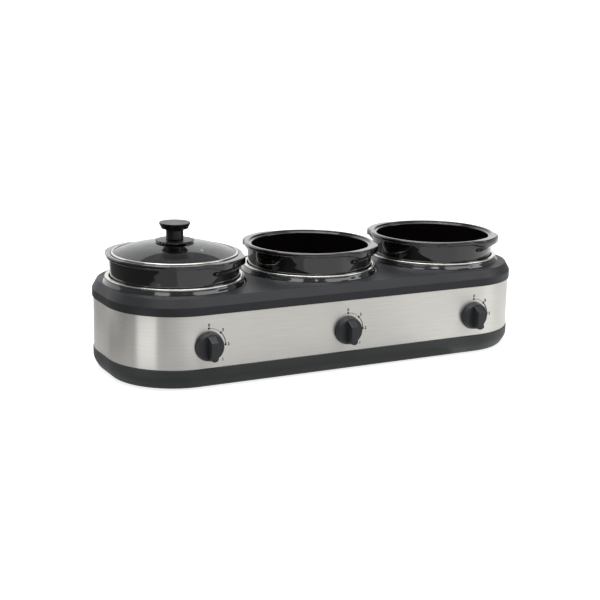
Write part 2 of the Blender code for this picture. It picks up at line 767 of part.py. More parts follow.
def dome_height(radius):
    """Height of the glass's underside: a shallow sphere from the flat rim at GLASS_LAP to its crown."""
    sphere = (GLASS_LAP**2 + LID_RISE**2) / (2 * LID_RISE)
    return CROWN - sphere + math.sqrt(sphere**2 - radius**2)


def make_lid_glass(axis):
    """Domed glass with a screw hole at its crown."""
    radii = [LID_BORE + (GLASS_LAP - LID_BORE) * step / 4 for step in range(5)]
    rim = (GLASS_RADIUS, dome_height(GLASS_LAP))
    under = [(radius, dome_height(radius)) for radius in radii] + [rim]
    profile = under + [(radius, z + GLASS_THICKNESS) for radius, z in reversed(under)]
    return finish(turned(profile, TURN_STEPS, closed=True), "lid_glass", GLASS, parent=axis)


def make_lid_band(axis):
    """Thin steel channel folded round the glass's edge."""
    edge_z = dome_height(GLASS_LAP)
    low = edge_z - TOUCH
    high = edge_z + GLASS_THICKNESS + TOUCH
    gauge = LID_BAND_GAUGE
    lip = GLASS_LAP + TOUCH
    profile = [
        (lip, low - gauge),
        (LID_RADIUS, low - gauge),
        (LID_RADIUS, high + gauge),
        (lip, high + gauge),
        (lip, high),
        (LID_RADIUS - gauge, high),
        (LID_RADIUS - gauge, low),
        (lip, low),
    ]
    return finish(turned(profile, TURN_STEPS, closed=True), "lid_band", STEEL, parent=axis)


def make_lid_fittings(axis):
    """Disc, knob, washer and screw stacked on the crown of the glass."""
    glass_top = dome_height(0.0) + GLASS_THICKNESS
    disc_low = glass_top + TOUCH
    disc_high = disc_low + GRIP_DISC_THICKNESS
    edge = FITTING_EDGE
    disc = [
        (LID_BORE, disc_low),
        (GRIP_DISC_RADIUS - edge, disc_low),
        (GRIP_DISC_RADIUS, disc_low + edge),
        (GRIP_DISC_RADIUS - edge, disc_high - edge),
        (STEM_RADIUS, disc_high),
        (LID_BORE, disc_high),
    ]
    finish(turned(disc, KNOB_STEPS, closed=True), "lid_knob_base", LID_PLASTIC, parent=axis)
    stem_low = disc_high + TOUCH
    cap_low = stem_low + STEM_LENGTH
    cap_top = cap_low + CAP_HEIGHT
    washer_top = dome_height(WASHER_RADIUS) - TOUCH
    washer_low = washer_top - WASHER_THICKNESS
    tip = washer_low + LID_SCREW_LENGTH
    knob = [
        (LID_BORE, stem_low),
        (STEM_RADIUS, stem_low),
        (STEM_RADIUS - edge, (stem_low + cap_low) / 2),
        (STEM_RADIUS, cap_low),
        (CAP_LOW_RADIUS - edge, cap_low),
        (CAP_LOW_RADIUS, cap_low + edge),
        (CAP_RADIUS - edge, cap_top - edge - CAP_CROWN),
        (CAP_RADIUS, cap_top - CAP_CROWN),
        (CAP_RADIUS - edge, cap_top - CAP_CROWN / 2),
        (0.0, cap_top),
        (0.0, tip + TOUCH),
        (LID_BORE, tip + TOUCH),
    ]
    finish(turned(knob, KNOB_STEPS, closed=True), "lid_knob", LID_PLASTIC, parent=axis)
    washer = [
        (LID_BORE, washer_low),
        (WASHER_RADIUS, washer_low),
        (WASHER_RADIUS, washer_top),
        (LID_BORE, washer_top),
    ]
    finish(turned(washer, KNOB_STEPS, closed=True), "lid_washer", STEEL, parent=axis)
    head_top = washer_low - TOUCH
    screw = [
        (0.0, head_top - LID_SCREW_HEAD),
        (LID_SCREW_HEAD_RADIUS - edge, head_top - LID_SCREW_HEAD),
        (LID_SCREW_HEAD_RADIUS, head_top - LID_SCREW_HEAD + edge),
        (LID_SCREW_HEAD_RADIUS, head_top),
        (LID_SCREW_RADIUS, head_top),
        (LID_SCREW_RADIUS, tip),
        (0.0, tip),
    ]
    finish(turned(screw, SMALL_STEPS), "lid_screw", ZINC, parent=axis)


# Dials, switches and shafts, each made along +Z from the band's outer face and then turned to -Y

def grip_loop(bm, width, above, below, z):
    """Outline of the dial's grip: square at the pointing end, round at the other."""
    half = width / 2
    points = [(half, above), (-half, above)]
    for step in range(7):
        angle = math.radians(180 + 180 * step / 6)
        points.append((half * math.cos(angle), half - below + half * math.sin(angle)))
    return loop(bm, points, z)


def make_dial(side, axis):
    """Dial: a hollow drafted skirt with a hub for the shaft and a straight grip across its face."""
    bore = SHAFT_RADIUS + RUNNING
    hub = bore + HUB_WALL
    hub_foot = BUSH_REACH + 2 * TOUCH
    roof = DIAL_FACE - DIAL_WALL
    edge = DIAL_EDGE
    profile = [
        (0.0, DIAL_FACE - DIAL_ROOF),
        (bore, DIAL_FACE - DIAL_ROOF),
        (bore, hub_foot),
        (hub, hub_foot),
        (hub, roof),
        (DIAL_FACE_RADIUS - DIAL_WALL, roof),
        (DIAL_RADIUS - DIAL_WALL, DIAL_LIFT),
        (DIAL_RADIUS, DIAL_LIFT),
        (DIAL_FACE_RADIUS, DIAL_FACE - edge),
        (DIAL_FACE_RADIUS - edge, DIAL_FACE),
        (0.0, DIAL_FACE),
    ]
    dial = finish(face_front(turned(profile, KNOB_STEPS)), f"dial_{side}", KNOB_PLASTIC, parent=axis)
    bm = bmesh.new()
    sunk = DIAL_FACE - DIAL_EDGE
    width = GRIP_WIDTH - GRIP_DRAFT
    below = GRIP_BELOW - GRIP_DRAFT / 2
    loops = [
        grip_loop(bm, GRIP_WIDTH, GRIP_ABOVE, GRIP_BELOW, sunk),
        grip_loop(bm, width, GRIP_ABOVE - GRIP_FACET, below, DIAL_REACH),
    ]
    loft(bm, loops)
    cap(bm, loops[0])
    cap(bm, loops[1])
    grip = finish(face_front(bm), f"grip_shape_{side}", KNOB_PLASTIC, parent=axis)
    grip.hide_render = True
    grip.display_type = "WIRE"
    join = dial.modifiers.new("grip", "BOOLEAN")
    join.operation = "UNION"
    join.solver = "EXACT"
    join.object = grip
    return dial


def make_shaft(side, axis):
    """Switch shaft with a flat, from inside the switch to inside the dial's hub."""
    inner_end = BUSH_REACH - SWITCH_DEPTH
    outer_end = DIAL_FACE - DIAL_ROOF - TOUCH
    points = []
    for x, y in circle(SHAFT_RADIUS, SMALL_STEPS):
        points.append((x, min(y, SHAFT_RADIUS - SHAFT_FLAT)))
    bm = bmesh.new()
    ends = [loop(bm, points, inner_end), loop(bm, points, outer_end)]
    loft(bm, ends)
    cap(bm, ends[0])
    cap(bm, ends[1])
    return finish(face_front(bm), f"shaft_{side}", STEEL, parent=axis)


def make_switch(side, x):
    """Rotary switch behind the band: body, threaded bush with a blind bore, and three tabs."""
    face = -BAND_THICKNESS - TOUCH
    rear = face - SWITCH_DEPTH
    bore_end = BUSH_REACH - SWITCH_DEPTH - TOUCH
    body = box_outline(SWITCH_WIDTH, SWITCH_HEIGHT)
    bm = bmesh.new()
    shell = [loop(bm, body, rear), loop(bm, body, face)]
    loft(bm, shell)
    bush = circle(BUSH_RADIUS, SMALL_STEPS)
    bore = circle(SHAFT_RADIUS + RUNNING, SMALL_STEPS)
    stack = [loop(bm, bush, face), loop(bm, bush, BUSH_REACH)]
    stack += [loop(bm, bore, BUSH_REACH), loop(bm, bore, bore_end)]
    loft(bm, stack)
    cap(bm, stack[-1])
    cap(bm, shell[1], stack[0])
    tabs = []
    for place in (-1, 0, 1):
        points = box_outline(TAB_THICKNESS, TAB_WIDTH, (place * TAB_PITCH, 0.0))
        tab = [loop(bm, points, rear), loop(bm, points, rear - TAB_LENGTH)]
        loft(bm, tab)
        cap(bm, tab[1])
        tabs.append(tab[0])
    cap(bm, shell[0], *tabs)
    return finish(face_front(bm), f"switch_{side}", NYLON, place=(x, -HALF_DEPTH, DIAL_Z))


def make_nut(side, x):
    """Hexagon nut that clamps the switch's bush to the band."""
    bm = bmesh.new()
    hexagon = circle(NUT_ACROSS / math.sqrt(3), 6)
    bore = circle(BUSH_RADIUS + RUNNING, SMALL_STEPS)
    levels = (TOUCH, TOUCH + NUT_THICKNESS)
    rims = [loop(bm, hexagon, z) for z in levels]
    holes = [loop(bm, bore, z) for z in levels]
    loft(bm, rims)
    loft(bm, holes)
    cap(bm, rims[0], holes[0])
    cap(bm, rims[1], holes[1])
    return finish(face_front(bm), f"switch_nut_{side}", ZINC, place=(x, -HALF_DEPTH, DIAL_Z))


# Cord inlet, terminal block and wiring

def make_gland():
    """Bush in the rear of the band where the cord enters, with a flange on each side of the steel."""
    flange = GLAND_RADIUS + GLAND_FLANGE
    outer = TOUCH + GLAND_FLANGE_THICKNESS
    inner = -BAND_THICKNESS - TOUCH
    profile = [
        (GLAND_BORE, inner - GLAND_FLANGE_THICKNESS),
        (flange - GLAND_FLANGE / 2, inner - GLAND_FLANGE_THICKNESS),
        (flange - GLAND_FLANGE / 2, inner),
        (GLAND_RADIUS, inner),
        (GLAND_RADIUS, TOUCH),
        (flange, TOUCH),
        (flange, outer),
        (GLAND_RADIUS, outer),
        (GLAND_RADIUS - GLAND_TAPER, GLAND_SNOUT),
        (GLAND_BORE, GLAND_SNOUT),
    ]
    bm = face_back(turned(profile, SMALL_STEPS, closed=True))
    return finish(bm, "cord_inlet_bush", RUBBER, place=(GLAND_X, HALF_DEPTH, GLAND_Z))


def make_block():
    """Terminal block on the shield, with a screw pocket for each way."""
    low = SHIELD_TOP + TOUCH
    high = low + BLOCK_HEIGHT
    body = box_outline(BLOCK_LENGTH, BLOCK_DEPTH)
    bm = bmesh.new()
    shell = [loop(bm, body, low), loop(bm, body, high)]
    loft(bm, shell)
    cap(bm, shell[0])
    pockets = []
    way = BLOCK_LENGTH / BLOCK_WAYS
    for place in range(BLOCK_WAYS):
        x = (place - (BLOCK_WAYS - 1) / 2) * way
        points = circle(way / 4, TINY_STEPS, (x, 0.0))
        pocket = [loop(bm, points, high), loop(bm, points, high - BLOCK_HEIGHT / 3)]
        loft(bm, pocket)
        cap(bm, pocket[1])
        pockets.append(pocket[0])
    cap(bm, shell[1], *pockets)
    return finish(bm, "terminal_block", NYLON, place=(GLAND_X, BLOCK_Y, 0.0))


def smooth_route(points, rounds):
    """Hand-placed points with each corner cut at a quarter of its sides, as many rounds as asked."""
    route = [Vector(point) for point in points]
    for _ in range(rounds):
        cut = [route[0]]
        for a, b in zip(route, route[1:]):
            cut += [a.lerp(b, 0.25), a.lerp(b, 0.75)]
        route = cut + [route[-1]]
    return route


def make_wire(name, points, rounds):
    """An insulated lead along a smooth route."""
    curve = bpy.data.curves.new(name, "CURVE")
    curve.dimensions = "3D"
    curve.bevel_depth = WIRE_RADIUS
    curve.bevel_resolution = 0
    curve.use_fill_caps = True
    route = smooth_route(points, rounds)
    spline = curve.splines.new("POLY")
    spline.points.add(len(route) - 1)
    for knot, place in zip(spline.points, route):
        knot.co = (*place, 1.0)
    curve.materials.append(WIRE)
    made = bpy.data.objects.new(name, curve)
    made.parent = HOUSING
    bpy.context.scene.collection.objects.link(made)
    return made


def make_wiring():
    """One lead from the block to each switch, and one from each switch to its heater."""
    floor = SHIELD_TOP + WIRE_RADIUS + TOUCH
    rear_y = -(HALF_DEPTH - BAND_THICKNESS - TOUCH - SWITCH_DEPTH - TAB_LENGTH)
    start_y = BLOCK_Y - BLOCK_DEPTH / 2 - TOUCH - WIRE_RADIUS
    lift = 2 * TOUCH + WIRE_RADIUS
    for number, (side, x) in enumerate(WELLS):
        lane = (number - 1) * WIRE_LANE_PITCH
        start_x = GLAND_X + (number - 1) * BLOCK_LENGTH / BLOCK_WAYS
        end_x = x - TAB_PITCH
        end = (end_x, rear_y + lift, DIAL_Z)
        turn_x = GLAND_X + lane
        toward = math.copysign(1.0, end_x - turn_x)
        lane_y = WIRE_LANE_INSET - HALF_DEPTH - lane
        points = [
            (start_x, start_y, floor + BLOCK_HEIGHT / 3),
            (turn_x, start_y - WIRE_BEND, floor),
            (turn_x, 0.0, floor),
            (turn_x, lane_y + WIRE_BEND, floor),
            (turn_x + toward * WIRE_BEND, lane_y, floor),
            (end_x - toward * WIRE_BEND, lane_y, floor),
            (end_x, rear_y + lift + WIRE_RISE, floor + WIRE_RISE),
            end,
        ]
        make_wire(f"switch_lead_{side}", points, 2)
        heater_z = WELL_FLOOR + HEATER_LIFT + HEATER_HEIGHT / 2
        reach = heater_wall(heater_z) + HEATER_THICKNESS + lift
        angle = math.radians(HEATER_LEAD_ANGLE)
        lead = [
            (x + TAB_PITCH, rear_y + lift, DIAL_Z),
            (x + TAB_PITCH, -reach - HEATER_LEAD_CLEAR, DIAL_Z + (heater_z - DIAL_Z) / 3),
            (x + TAB_PITCH + WIRE_RISE, -reach - HEATER_LEAD_CLEAR, heater_z - WIRE_RISE),
            (x + reach * math.cos(angle), reach * math.sin(angle), heater_z),
        ]
        make_wire(f"heater_lead_{side}", lead, 1)


# Assembly

make_tray()
make_band()
make_cover()
make_shield()
make_gland()
make_block()
for index, spot in enumerate(SCREWS, start=1):
    make_case_screw(index, spot)
for foot_name, spot in zip(("front_left", "rear_left", "front_right", "rear_right"), foot_places()):
    make_foot(f"foot_{foot_name}", spot)
for well_name, well_x in WELLS:
    make_well(well_name, well_x)
    make_collar(well_name, well_x)
    make_heater(well_name, well_x)
    make_fuse(well_name, well_x)
    make_pad(well_name, well_x)
    make_switch(well_name, well_x)
    make_nut(well_name, well_x)
    crock_axis = empty(f"crock_axis_{well_name}", (well_x, 0.0, 0.0), HOUSING)
    make_crock(well_name, crock_axis)
    dial_axis = empty(f"dial_axis_{well_name}", (well_x, -HALF_DEPTH, DIAL_Z), HOUSING)
    make_dial(well_name, dial_axis)
    make_shaft(well_name, dial_axis)
make_wiring()
lid_axis = empty("lid_axis", (WELLS[0][1], 0.0, 0.0), HOUSING)
make_lid_glass(lid_axis)
make_lid_band(lid_axis)
make_lid_fittings(lid_axis)
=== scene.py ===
"""Three-pot electric buffet server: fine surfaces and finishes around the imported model.

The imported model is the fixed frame. Every size and place here is read from it, or is a named
value in metres. The file is laid out as an add-on and is run as a script.
"""

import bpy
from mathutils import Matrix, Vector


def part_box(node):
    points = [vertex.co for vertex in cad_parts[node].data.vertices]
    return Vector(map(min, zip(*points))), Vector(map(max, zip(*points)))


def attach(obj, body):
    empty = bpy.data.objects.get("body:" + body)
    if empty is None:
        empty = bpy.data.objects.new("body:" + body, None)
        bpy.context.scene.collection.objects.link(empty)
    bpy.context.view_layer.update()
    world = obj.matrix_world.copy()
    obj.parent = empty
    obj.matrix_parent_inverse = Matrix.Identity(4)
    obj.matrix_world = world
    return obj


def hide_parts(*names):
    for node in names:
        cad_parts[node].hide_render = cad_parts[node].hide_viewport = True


bl_info = {
    "name": "Buffet Server Surfaces",
    "version": (1, 0, 0),
    "blender": (4, 5, 0),
    "location": "3D View > Sidebar > Buffet",
    "description": "Builds the surfaces, finishes and studio of a three-pot buffet server",
    "category": "Add Mesh",
}

import math

import bmesh
import bpy
import numpy as np
from mathutils import Matrix, Vector

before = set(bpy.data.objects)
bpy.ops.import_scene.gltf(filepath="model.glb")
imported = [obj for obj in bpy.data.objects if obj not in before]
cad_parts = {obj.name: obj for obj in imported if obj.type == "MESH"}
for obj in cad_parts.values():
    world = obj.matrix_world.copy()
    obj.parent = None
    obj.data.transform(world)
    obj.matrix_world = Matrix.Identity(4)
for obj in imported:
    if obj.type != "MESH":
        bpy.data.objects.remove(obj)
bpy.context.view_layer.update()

SIDES = ("left", "centre", "right")


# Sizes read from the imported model

def low(node):
    """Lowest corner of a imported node's box."""
    return np.array(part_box(node)[0])


def high(node):
    """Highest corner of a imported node's box."""
    return np.array(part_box(node)[1])


TOUCH = 0.0003
BAND_LOW = low("steel_band")
BAND_HIGH = high("steel_band")
HALF_LENGTH = BAND_HIGH[0]
HOUSING_Y = (BAND_LOW[1] + BAND_HIGH[1]) / 2
HALF_DEPTH = BAND_HIGH[1] - HOUSING_Y
FOOT_HEIGHT = low("base_tray")[2]
BASE_PROUD = high("base_tray")[0] - HALF_LENGTH
BASE_TOP = BAND_LOW[2] - TOUCH
DECK = high("top_cover")[2]
LIP_OVERHANG = high("top_cover")[0] - HALF_LENGTH
COLLAR_LOW = low("collar_centre")[2]
COLLAR_TOP = high("collar_centre")[2]
COLLAR_RADIUS = high("collar_centre")[0]
BEAD_TOP = high("well_centre")[2]
BEAD_OUTER = high("well_centre")[0]
WELL_BASE = low("well_centre")[2]
CROCK_FOOT = low("crock_centre")[2]
CROCK_TOP = high("crock_centre")[2]
PITCH = high("collar_right")[0] - COLLAR_RADIUS
WELLS = tuple(zip(SIDES, (-PITCH, 0.0, PITCH)))
DIAL_Z = (low("dial_centre")[2] + high("dial_centre")[2]) / 2
BAND_FRONT = BAND_LOW[1]


# Colours

def linear(code):
    """An sRGB hex colour as linear red, green and blue."""
    shown = np.array([int(code[i:i + 2], 16) for i in (0, 2, 4)]) / 255
    return tuple(np.where(shown <= 0.04045, shown / 12.92, ((shown + 0.055) / 1.055) ** 2.4).tolist())


def length(name, description, default):
    """A length a user may change."""
    return bpy.props.FloatProperty(
        name=name, description=description, default=default, min=0.0, precision=5, unit="LENGTH"
    )


def colour(name, description, code):
    """A colour a user may change."""
    return bpy.props.FloatVectorProperty(
        name=name, description=description, default=linear(code), min=0.0, max=1.0, subtype="COLOR"
    )


class HousingSizes(bpy.types.PropertyGroup):
    """Sizes of the tray, the band and the cover."""

    dial_flat: length("Dial Flat", "Straight band beyond the last dial's axis", 0.0105)
    end_margin: length("End Margin", "Collar to band at the ends", 0.0060)
    lip_height: length("Lip Height", "Height of the cover's upright edge", 0.0115)
    bevel_rise: length("Bevel Rise", "Height of the cover's bevel", 0.0120)
    bevel_inset: length("Bevel Inset", "How far the bevel leans in", 0.0068)
    cover_wall: length("Cover Wall", "Thickness of the cover", 0.0023)
    band_gauge: length("Band Gauge", "Thickness of the steel band", 0.0008)
    base_tuck: length("Base Tuck", "How far the tray draws in at its foot", 0.0067)
    base_round: length("Base Round", "Height of the curve at the tray's foot", 0.0130)
    tray_floor: length("Tray Floor", "Thickness of the tray's floor", 0.0025)


class PotSizes(bpy.types.PropertyGroup):
    """Sizes of the crocks, the wells and the lid."""

    crock_radius: length("Crock Radius", "Body under the rim", 0.0920)
    crock_taper: length("Crock Taper", "How much narrower the foot is", 0.0035)
    crock_wall: length("Crock Wall", "Thickness of the wall", 0.0060)
    crock_floor: length("Crock Floor", "Thickness of the floor", 0.0070)
    rim_reach: length("Rim Reach", "Rim beyond the body", 0.0039)
    rim_height: length("Rim Height", "Height of the rim", 0.0063)
    ledge_width: length("Ledge Width", "Step inside the rim that carries a lid", 0.0045)
    ledge_depth: length("Ledge Depth", "Depth of that step", 0.0025)
    ear_reach: length("Ear Reach", "Lifting ears beyond the rim", 0.0062)
    ear_drop: length("Ear Drop", "How far an ear runs down the body", 0.0135)
    glass: length("Lid Glass", "Thickness of the lid's glass", 0.0035)


class DialSizes(bpy.types.PropertyGroup):
    """Sizes of the dials and their printed scales."""

    radius: length("Dial Radius", "Skirt at the band", 0.0208)
    draft: length("Dial Draft", "How much narrower the face is", 0.0022)
    grip_width: length("Grip Width", "Bar across the face", 0.0114)
    grip_height: length("Grip Height", "Bar beyond the face", 0.0120)
    scale_radius: length("Scale Radius", "Printed arc round a dial", 0.0247)
    numeral: length("Numeral Height", "Printed numerals beside the scale", 0.0042)


class Finishes(bpy.types.PropertyGroup):
    """Colours of the visible pieces."""

    cover: colour("Cover", "Satin charcoal of the top cover", "2c2d30")
    base: colour("Base", "Charcoal of the tray", "3a3d3d")
    steel: colour("Steel", "Brushed and polished steel", "ebe9e3")
    collar: colour("Collar", "Glossy enamel of the trim rings", "15171a")
    glaze: colour("Glaze", "Glaze of the crocks", "0d0a09")
    glaze_thin: colour("Thin Glaze", "Glaze where it runs thin over an edge", "2a1c15")
    dial: colour("Dial", "Plastic of the dials", "2e3034")
    knob: colour("Knob", "Phenolic of the lid's knob", "080808")
    ink: colour("Ink", "Printed scales", "141414")


# Shape tools

def rounded(corners, closed=False, steps=6):
    """Profile whose corners are arcs.

    Each corner is (radius from the axis, height, fillet). The fillet is an arc tangent to both of its sides:
    its ends lie fillet * tan(half the turn) along them. A close point on each side keeps the shading flat.
    """
    count = len(corners)
    made = []
    for i, (x, y, fillet) in enumerate(corners):
        here = np.array((x, y))
        if not closed and i in (0, count - 1):
            made.append(here[None])
            continue
        before = np.array(corners[i - 1][:2]) - here
        after = np.array(corners[(i + 1) % count][:2]) - here
        reach_before = np.linalg.norm(before)
        reach_after = np.linalg.norm(after)
        before = before / reach_before
        after = after / reach_after
        turn = math.pi - math.acos(float(np.clip(before @ after, -1, 1)))
        if fillet <= 0.0 or turn < 1e-3:
            made.append(here[None])
            continue
        cut = min(fillet * math.tan(turn / 2), 0.45 * reach_before, 0.45 * reach_after)
        radius = cut / math.tan(turn / 2)
        bisector = before + after
        bisector = bisector / np.linalg.norm(bisector)
        centre = here + bisector * radius / math.cos(turn / 2)
        start = here + before * cut - centre
        end = here + after * cut - centre
        share = np.linspace(0, 1, max(2, math.ceil(steps * turn / (math.pi / 2))) + 1)[:, None]
        arc = (np.sin((1 - share) * turn) * start + np.sin(share * turn) * end) / math.sin(turn)
        support = min(0.3 * radius, 0.04 * min(reach_before, reach_after))
        edge = [here + before * (cut + support), here + after * (cut + support)]
        made += [edge[:1], centre + arc, edge[1:]]
    return np.concatenate([np.atleast_2d(part) for part in made])


def path_length(points):
    """Distance from the first point to each point along a path."""
    return np.concatenate([[0.0], np.cumsum(np.linalg.norm(np.diff(points, axis=0), axis=1))])


def grid_mesh(name, points, across, along, caps=False, ring=False):
    """Mesh over a grid of points, rows along a profile and columns round an outline that closes.

    Quad (i, j) joins rows i and i + 1 and columns j and j + 1. A ring joins its last row to its first. Caps
    fill the first and last rows. The UV map holds the distances across and along, in metres.
    """
    rows, columns = points.shape[:2]
    i = np.arange(rows if ring else rows - 1)[:, None]
    j = np.arange(columns)[None]
    i, j = np.broadcast_arrays(i, j)
    up = (i + 1) % rows
    right = (j + 1) % columns
    corners = np.stack([i * columns + j, i * columns + right, up * columns + right, up * columns + j], -1)
    u = np.stack([across[j], across[j + 1], across[j + 1], across[j]], -1)
    v = np.stack([along[i], along[i], along[i + 1], along[i + 1]], -1)
    loops = corners.reshape(-1)
    starts = np.arange(corners.size // 4) * 4
    uv = np.stack([u, v], -1).reshape(-1, 2)
    if caps:
        ends = np.concatenate([np.arange(columns)[::-1], (rows - 1) * columns + np.arange(columns)])
        starts = np.concatenate([starts, [len(loops), len(loops) + columns]])
        loops = np.concatenate([loops, ends])
        uv = np.concatenate([uv, points.reshape(-1, 3)[ends][:, :2]])
    mesh = bpy.data.meshes.new(name)
    mesh.vertices.add(rows * columns)
    mesh.vertices.foreach_set("co", points.astype(np.float32).reshape(-1))
    mesh.loops.add(len(loops))
    mesh.loops.foreach_set("vertex_index", loops.astype(np.int32))
    mesh.polygons.add(len(starts))
    mesh.polygons.foreach_set("loop_start", starts.astype(np.int32))
    mesh.update(calc_edges=True)
    mesh.uv_layers.new(name="metres").data.foreach_set("uv", uv.astype(np.float32).reshape(-1))
    return mesh


def clean(mesh):
    """Merges the points that meet at a pole and turns every face outwards."""
    bm = bmesh.new()
    bm.from_mesh(mesh)
    bmesh.ops.remove_doubles(bm, verts=bm.verts, dist=1e-6)
    bmesh.ops.recalc_face_normals(bm, faces=bm.faces)
    bm.to_mesh(mesh)
    bm.free()


def piece(name, mesh, finish, sharp=40.0):
    """Object at the origin with one finish, shaded smooth except over sharp edges."""
    clean(mesh)
    mesh.materials.clear()
    mesh.materials.append(finish)
    mesh.shade_smooth()
    mesh.set_sharp_from_angle(angle=math.radians(sharp))
    made = bpy.data.objects.new(name, mesh)
    bpy.context.scene.collection.objects.link(made)
    return made


def place(made, body, slot, *nodes):
    """Rides a piece on its body and hides the nodes that it stands for. The slot is not used."""
    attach(made, body)
    if nodes:
        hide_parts(*nodes)


def turned(name, profile, centre, steps=192, ring=False):
    """Surface turned about an upright axis: point (r, z) at angle a goes to (r cos a, r sin a, z)."""
    angle = np.arange(steps) * (2 * math.pi / steps)
    points = np.empty((len(profile), steps, 3))
    points[..., 0] = centre[0] + profile[:, :1] * np.cos(angle)
    points[..., 1] = centre[1] + profile[:, :1] * np.sin(angle)
    points[..., 2] = profile[:, 1:]
    across = np.linspace(0, 2 * math.pi * profile[:, 0].max(), steps + 1)
    along = path_length(np.concatenate([profile, profile[:1]]))
    return grid_mesh(name, points, across, along, ring=ring)


def lathed(name, profile, centre, finish, body, slot, node, steps=240, ring=False):
    """Turned piece in its place, which stands for one node."""
    place(piece(name, turned(node, profile, centre, steps, ring), finish), body, slot, node)


def facing(mesh, x, y, z, back=False):
    """Turns a mesh made upright at the origin to point forwards or backwards from a place on the band."""
    turn = Matrix.Rotation(math.radians(-90 if back else 90), 4, "X")
    mesh.transform(Matrix.Translation((x, y, z)) @ turn)
    return mesh


def housing_outline():
    """Points of the band's outline and their outward directions.

    Four quarter circles joined by straight sides. The outline grown by d is point + d * direction.
    """
    sizes = bpy.context.scene.buffet_housing
    radius = COLLAR_RADIUS + sizes.end_margin - sizes.dial_flat
    turn = np.linspace(0, math.pi / 2, 41)
    middle_x = HALF_LENGTH - radius
    middle_y = HALF_DEPTH - radius
    points = []
    directions = []
    for quarter, (sx, sy) in enumerate(((1, -1), (1, 1), (-1, 1), (-1, -1))):
        angle = turn + (quarter - 1) * math.pi / 2
        direction = np.stack([np.cos(angle), np.sin(angle)], 1)
        points.append(np.array((sx * middle_x, HOUSING_Y + sy * middle_y)) + radius * direction)
        directions.append(direction)
    return np.concatenate(points), np.concatenate(directions)


def swept(name, profile, caps=False, ring=False):
    """Surface of a profile carried round the housing: point (d, z) stands d beyond the band's outline."""
    outline, direction = housing_outline()
    points = np.empty((len(profile), len(outline), 3))
    points[..., :2] = outline + profile[:, None, :1] * direction
    points[..., 2] = profile[:, 1:]
    across = path_length(np.concatenate([outline, outline[:1]]))
    along = path_length(np.concatenate([profile, profile[:1]]))
    return grid_mesh(name, points, across, along, caps=caps, ring=ring)


def rod(radius, bottom, top, centre, steps=48):
    """Upright cylinder as a closed mesh, for cuts and pillars."""
    profile = np.array([(0.0, bottom), (radius, bottom), (radius, top), (0.0, top)])
    mesh = turned("rod", profile, centre, steps)
    clean(mesh)
    return mesh


def slab(half_x, half_y, bottom, top, centre, fillet):
    """Upright prism over a rounded rectangle, for the slots in the floor."""
    quarters = ((-1, -1), (1, -1), (1, 1), (-1, 1))
    outline = rounded([(sx * half_x, sy * half_y, fillet) for sx, sy in quarters], closed=True, steps=4)
    points = np.empty((2, len(outline), 3))
    points[..., :2] = outline + np.array(centre)
    points[..., 2] = np.array((bottom, top))[:, None]
    across = path_length(np.concatenate([outline, outline[:1]]))
    mesh = grid_mesh("slab", points, across, np.zeros(3), caps=True)
    clean(mesh)
    return mesh


def joined(meshes):
    """One mesh that holds several closed bodies."""
    bm = bmesh.new()
    for mesh in meshes:
        bm.from_mesh(mesh)
        bpy.data.meshes.remove(mesh)
    made = bpy.data.meshes.new("tool")
    bm.to_mesh(made)
    bm.free()
    return made


def combine(mesh, tools, operation):
    """The mesh after a Boolean with a group of closed bodies, which are removed."""
    tool = bpy.data.objects.new("tool", joined(tools))
    body = bpy.data.objects.new("body", mesh)
    for made in (tool, body):
        bpy.context.scene.collection.objects.link(made)
    modifier = body.modifiers.new("combine", "BOOLEAN")
    modifier.operation = operation
    modifier.solver = "EXACT"
    modifier.object = tool
    graph = bpy.context.evaluated_depsgraph_get()
    result = bpy.data.meshes.new_from_object(body.evaluated_get(graph), depsgraph=graph)
    for made in (tool, body):
        data = made.data
        bpy.data.objects.remove(made)
        bpy.data.meshes.remove(data)
    if not result.polygons:
        raise RuntimeError("a Boolean left nothing")
    return result


# Finishes

def add(tree, kind, inputs=None, **settings):
    """Adds a shader node. Each input takes a value, a socket, or a node for its first output."""
    node = tree.nodes.new("ShaderNode" + kind)
    for name, value in settings.items():
        setattr(node, name, value)
    connect(tree, node, inputs or {})
    return node


def connect(tree, node, inputs):
    """Sets or links a node's inputs."""
    for name, value in inputs.items():
        if isinstance(value, bpy.types.Node):
            value = value.outputs[0]
        if isinstance(value, bpy.types.NodeSocket):
            tree.links.new(value, node.inputs[name])
        else:
            node.inputs[name].default_value = value


def new_finish(name):
    """A new material, its tree, its shader and its coordinates."""
    made = bpy.data.materials.new(name)
    made.use_nodes = True
    tree = made.node_tree
    return made, tree, tree.nodes["Principled BSDF"], add(tree, "TexCoord").outputs


# Places of the colours among the Mix node's sockets, and the part of a noise's range that its values fill
MIX_FIRST, MIX_SECOND, MIX_RESULT = 6, 7, 2
MIDDLE = {"From Min": 0.3, "From Max": 0.7}


def shade(base, factor=1.0):
    """A colour made darker or lighter by a factor, as a node's socket takes it."""
    return (*(min(part * factor, 1.0) for part in tuple(base)[:3]), 1.0)


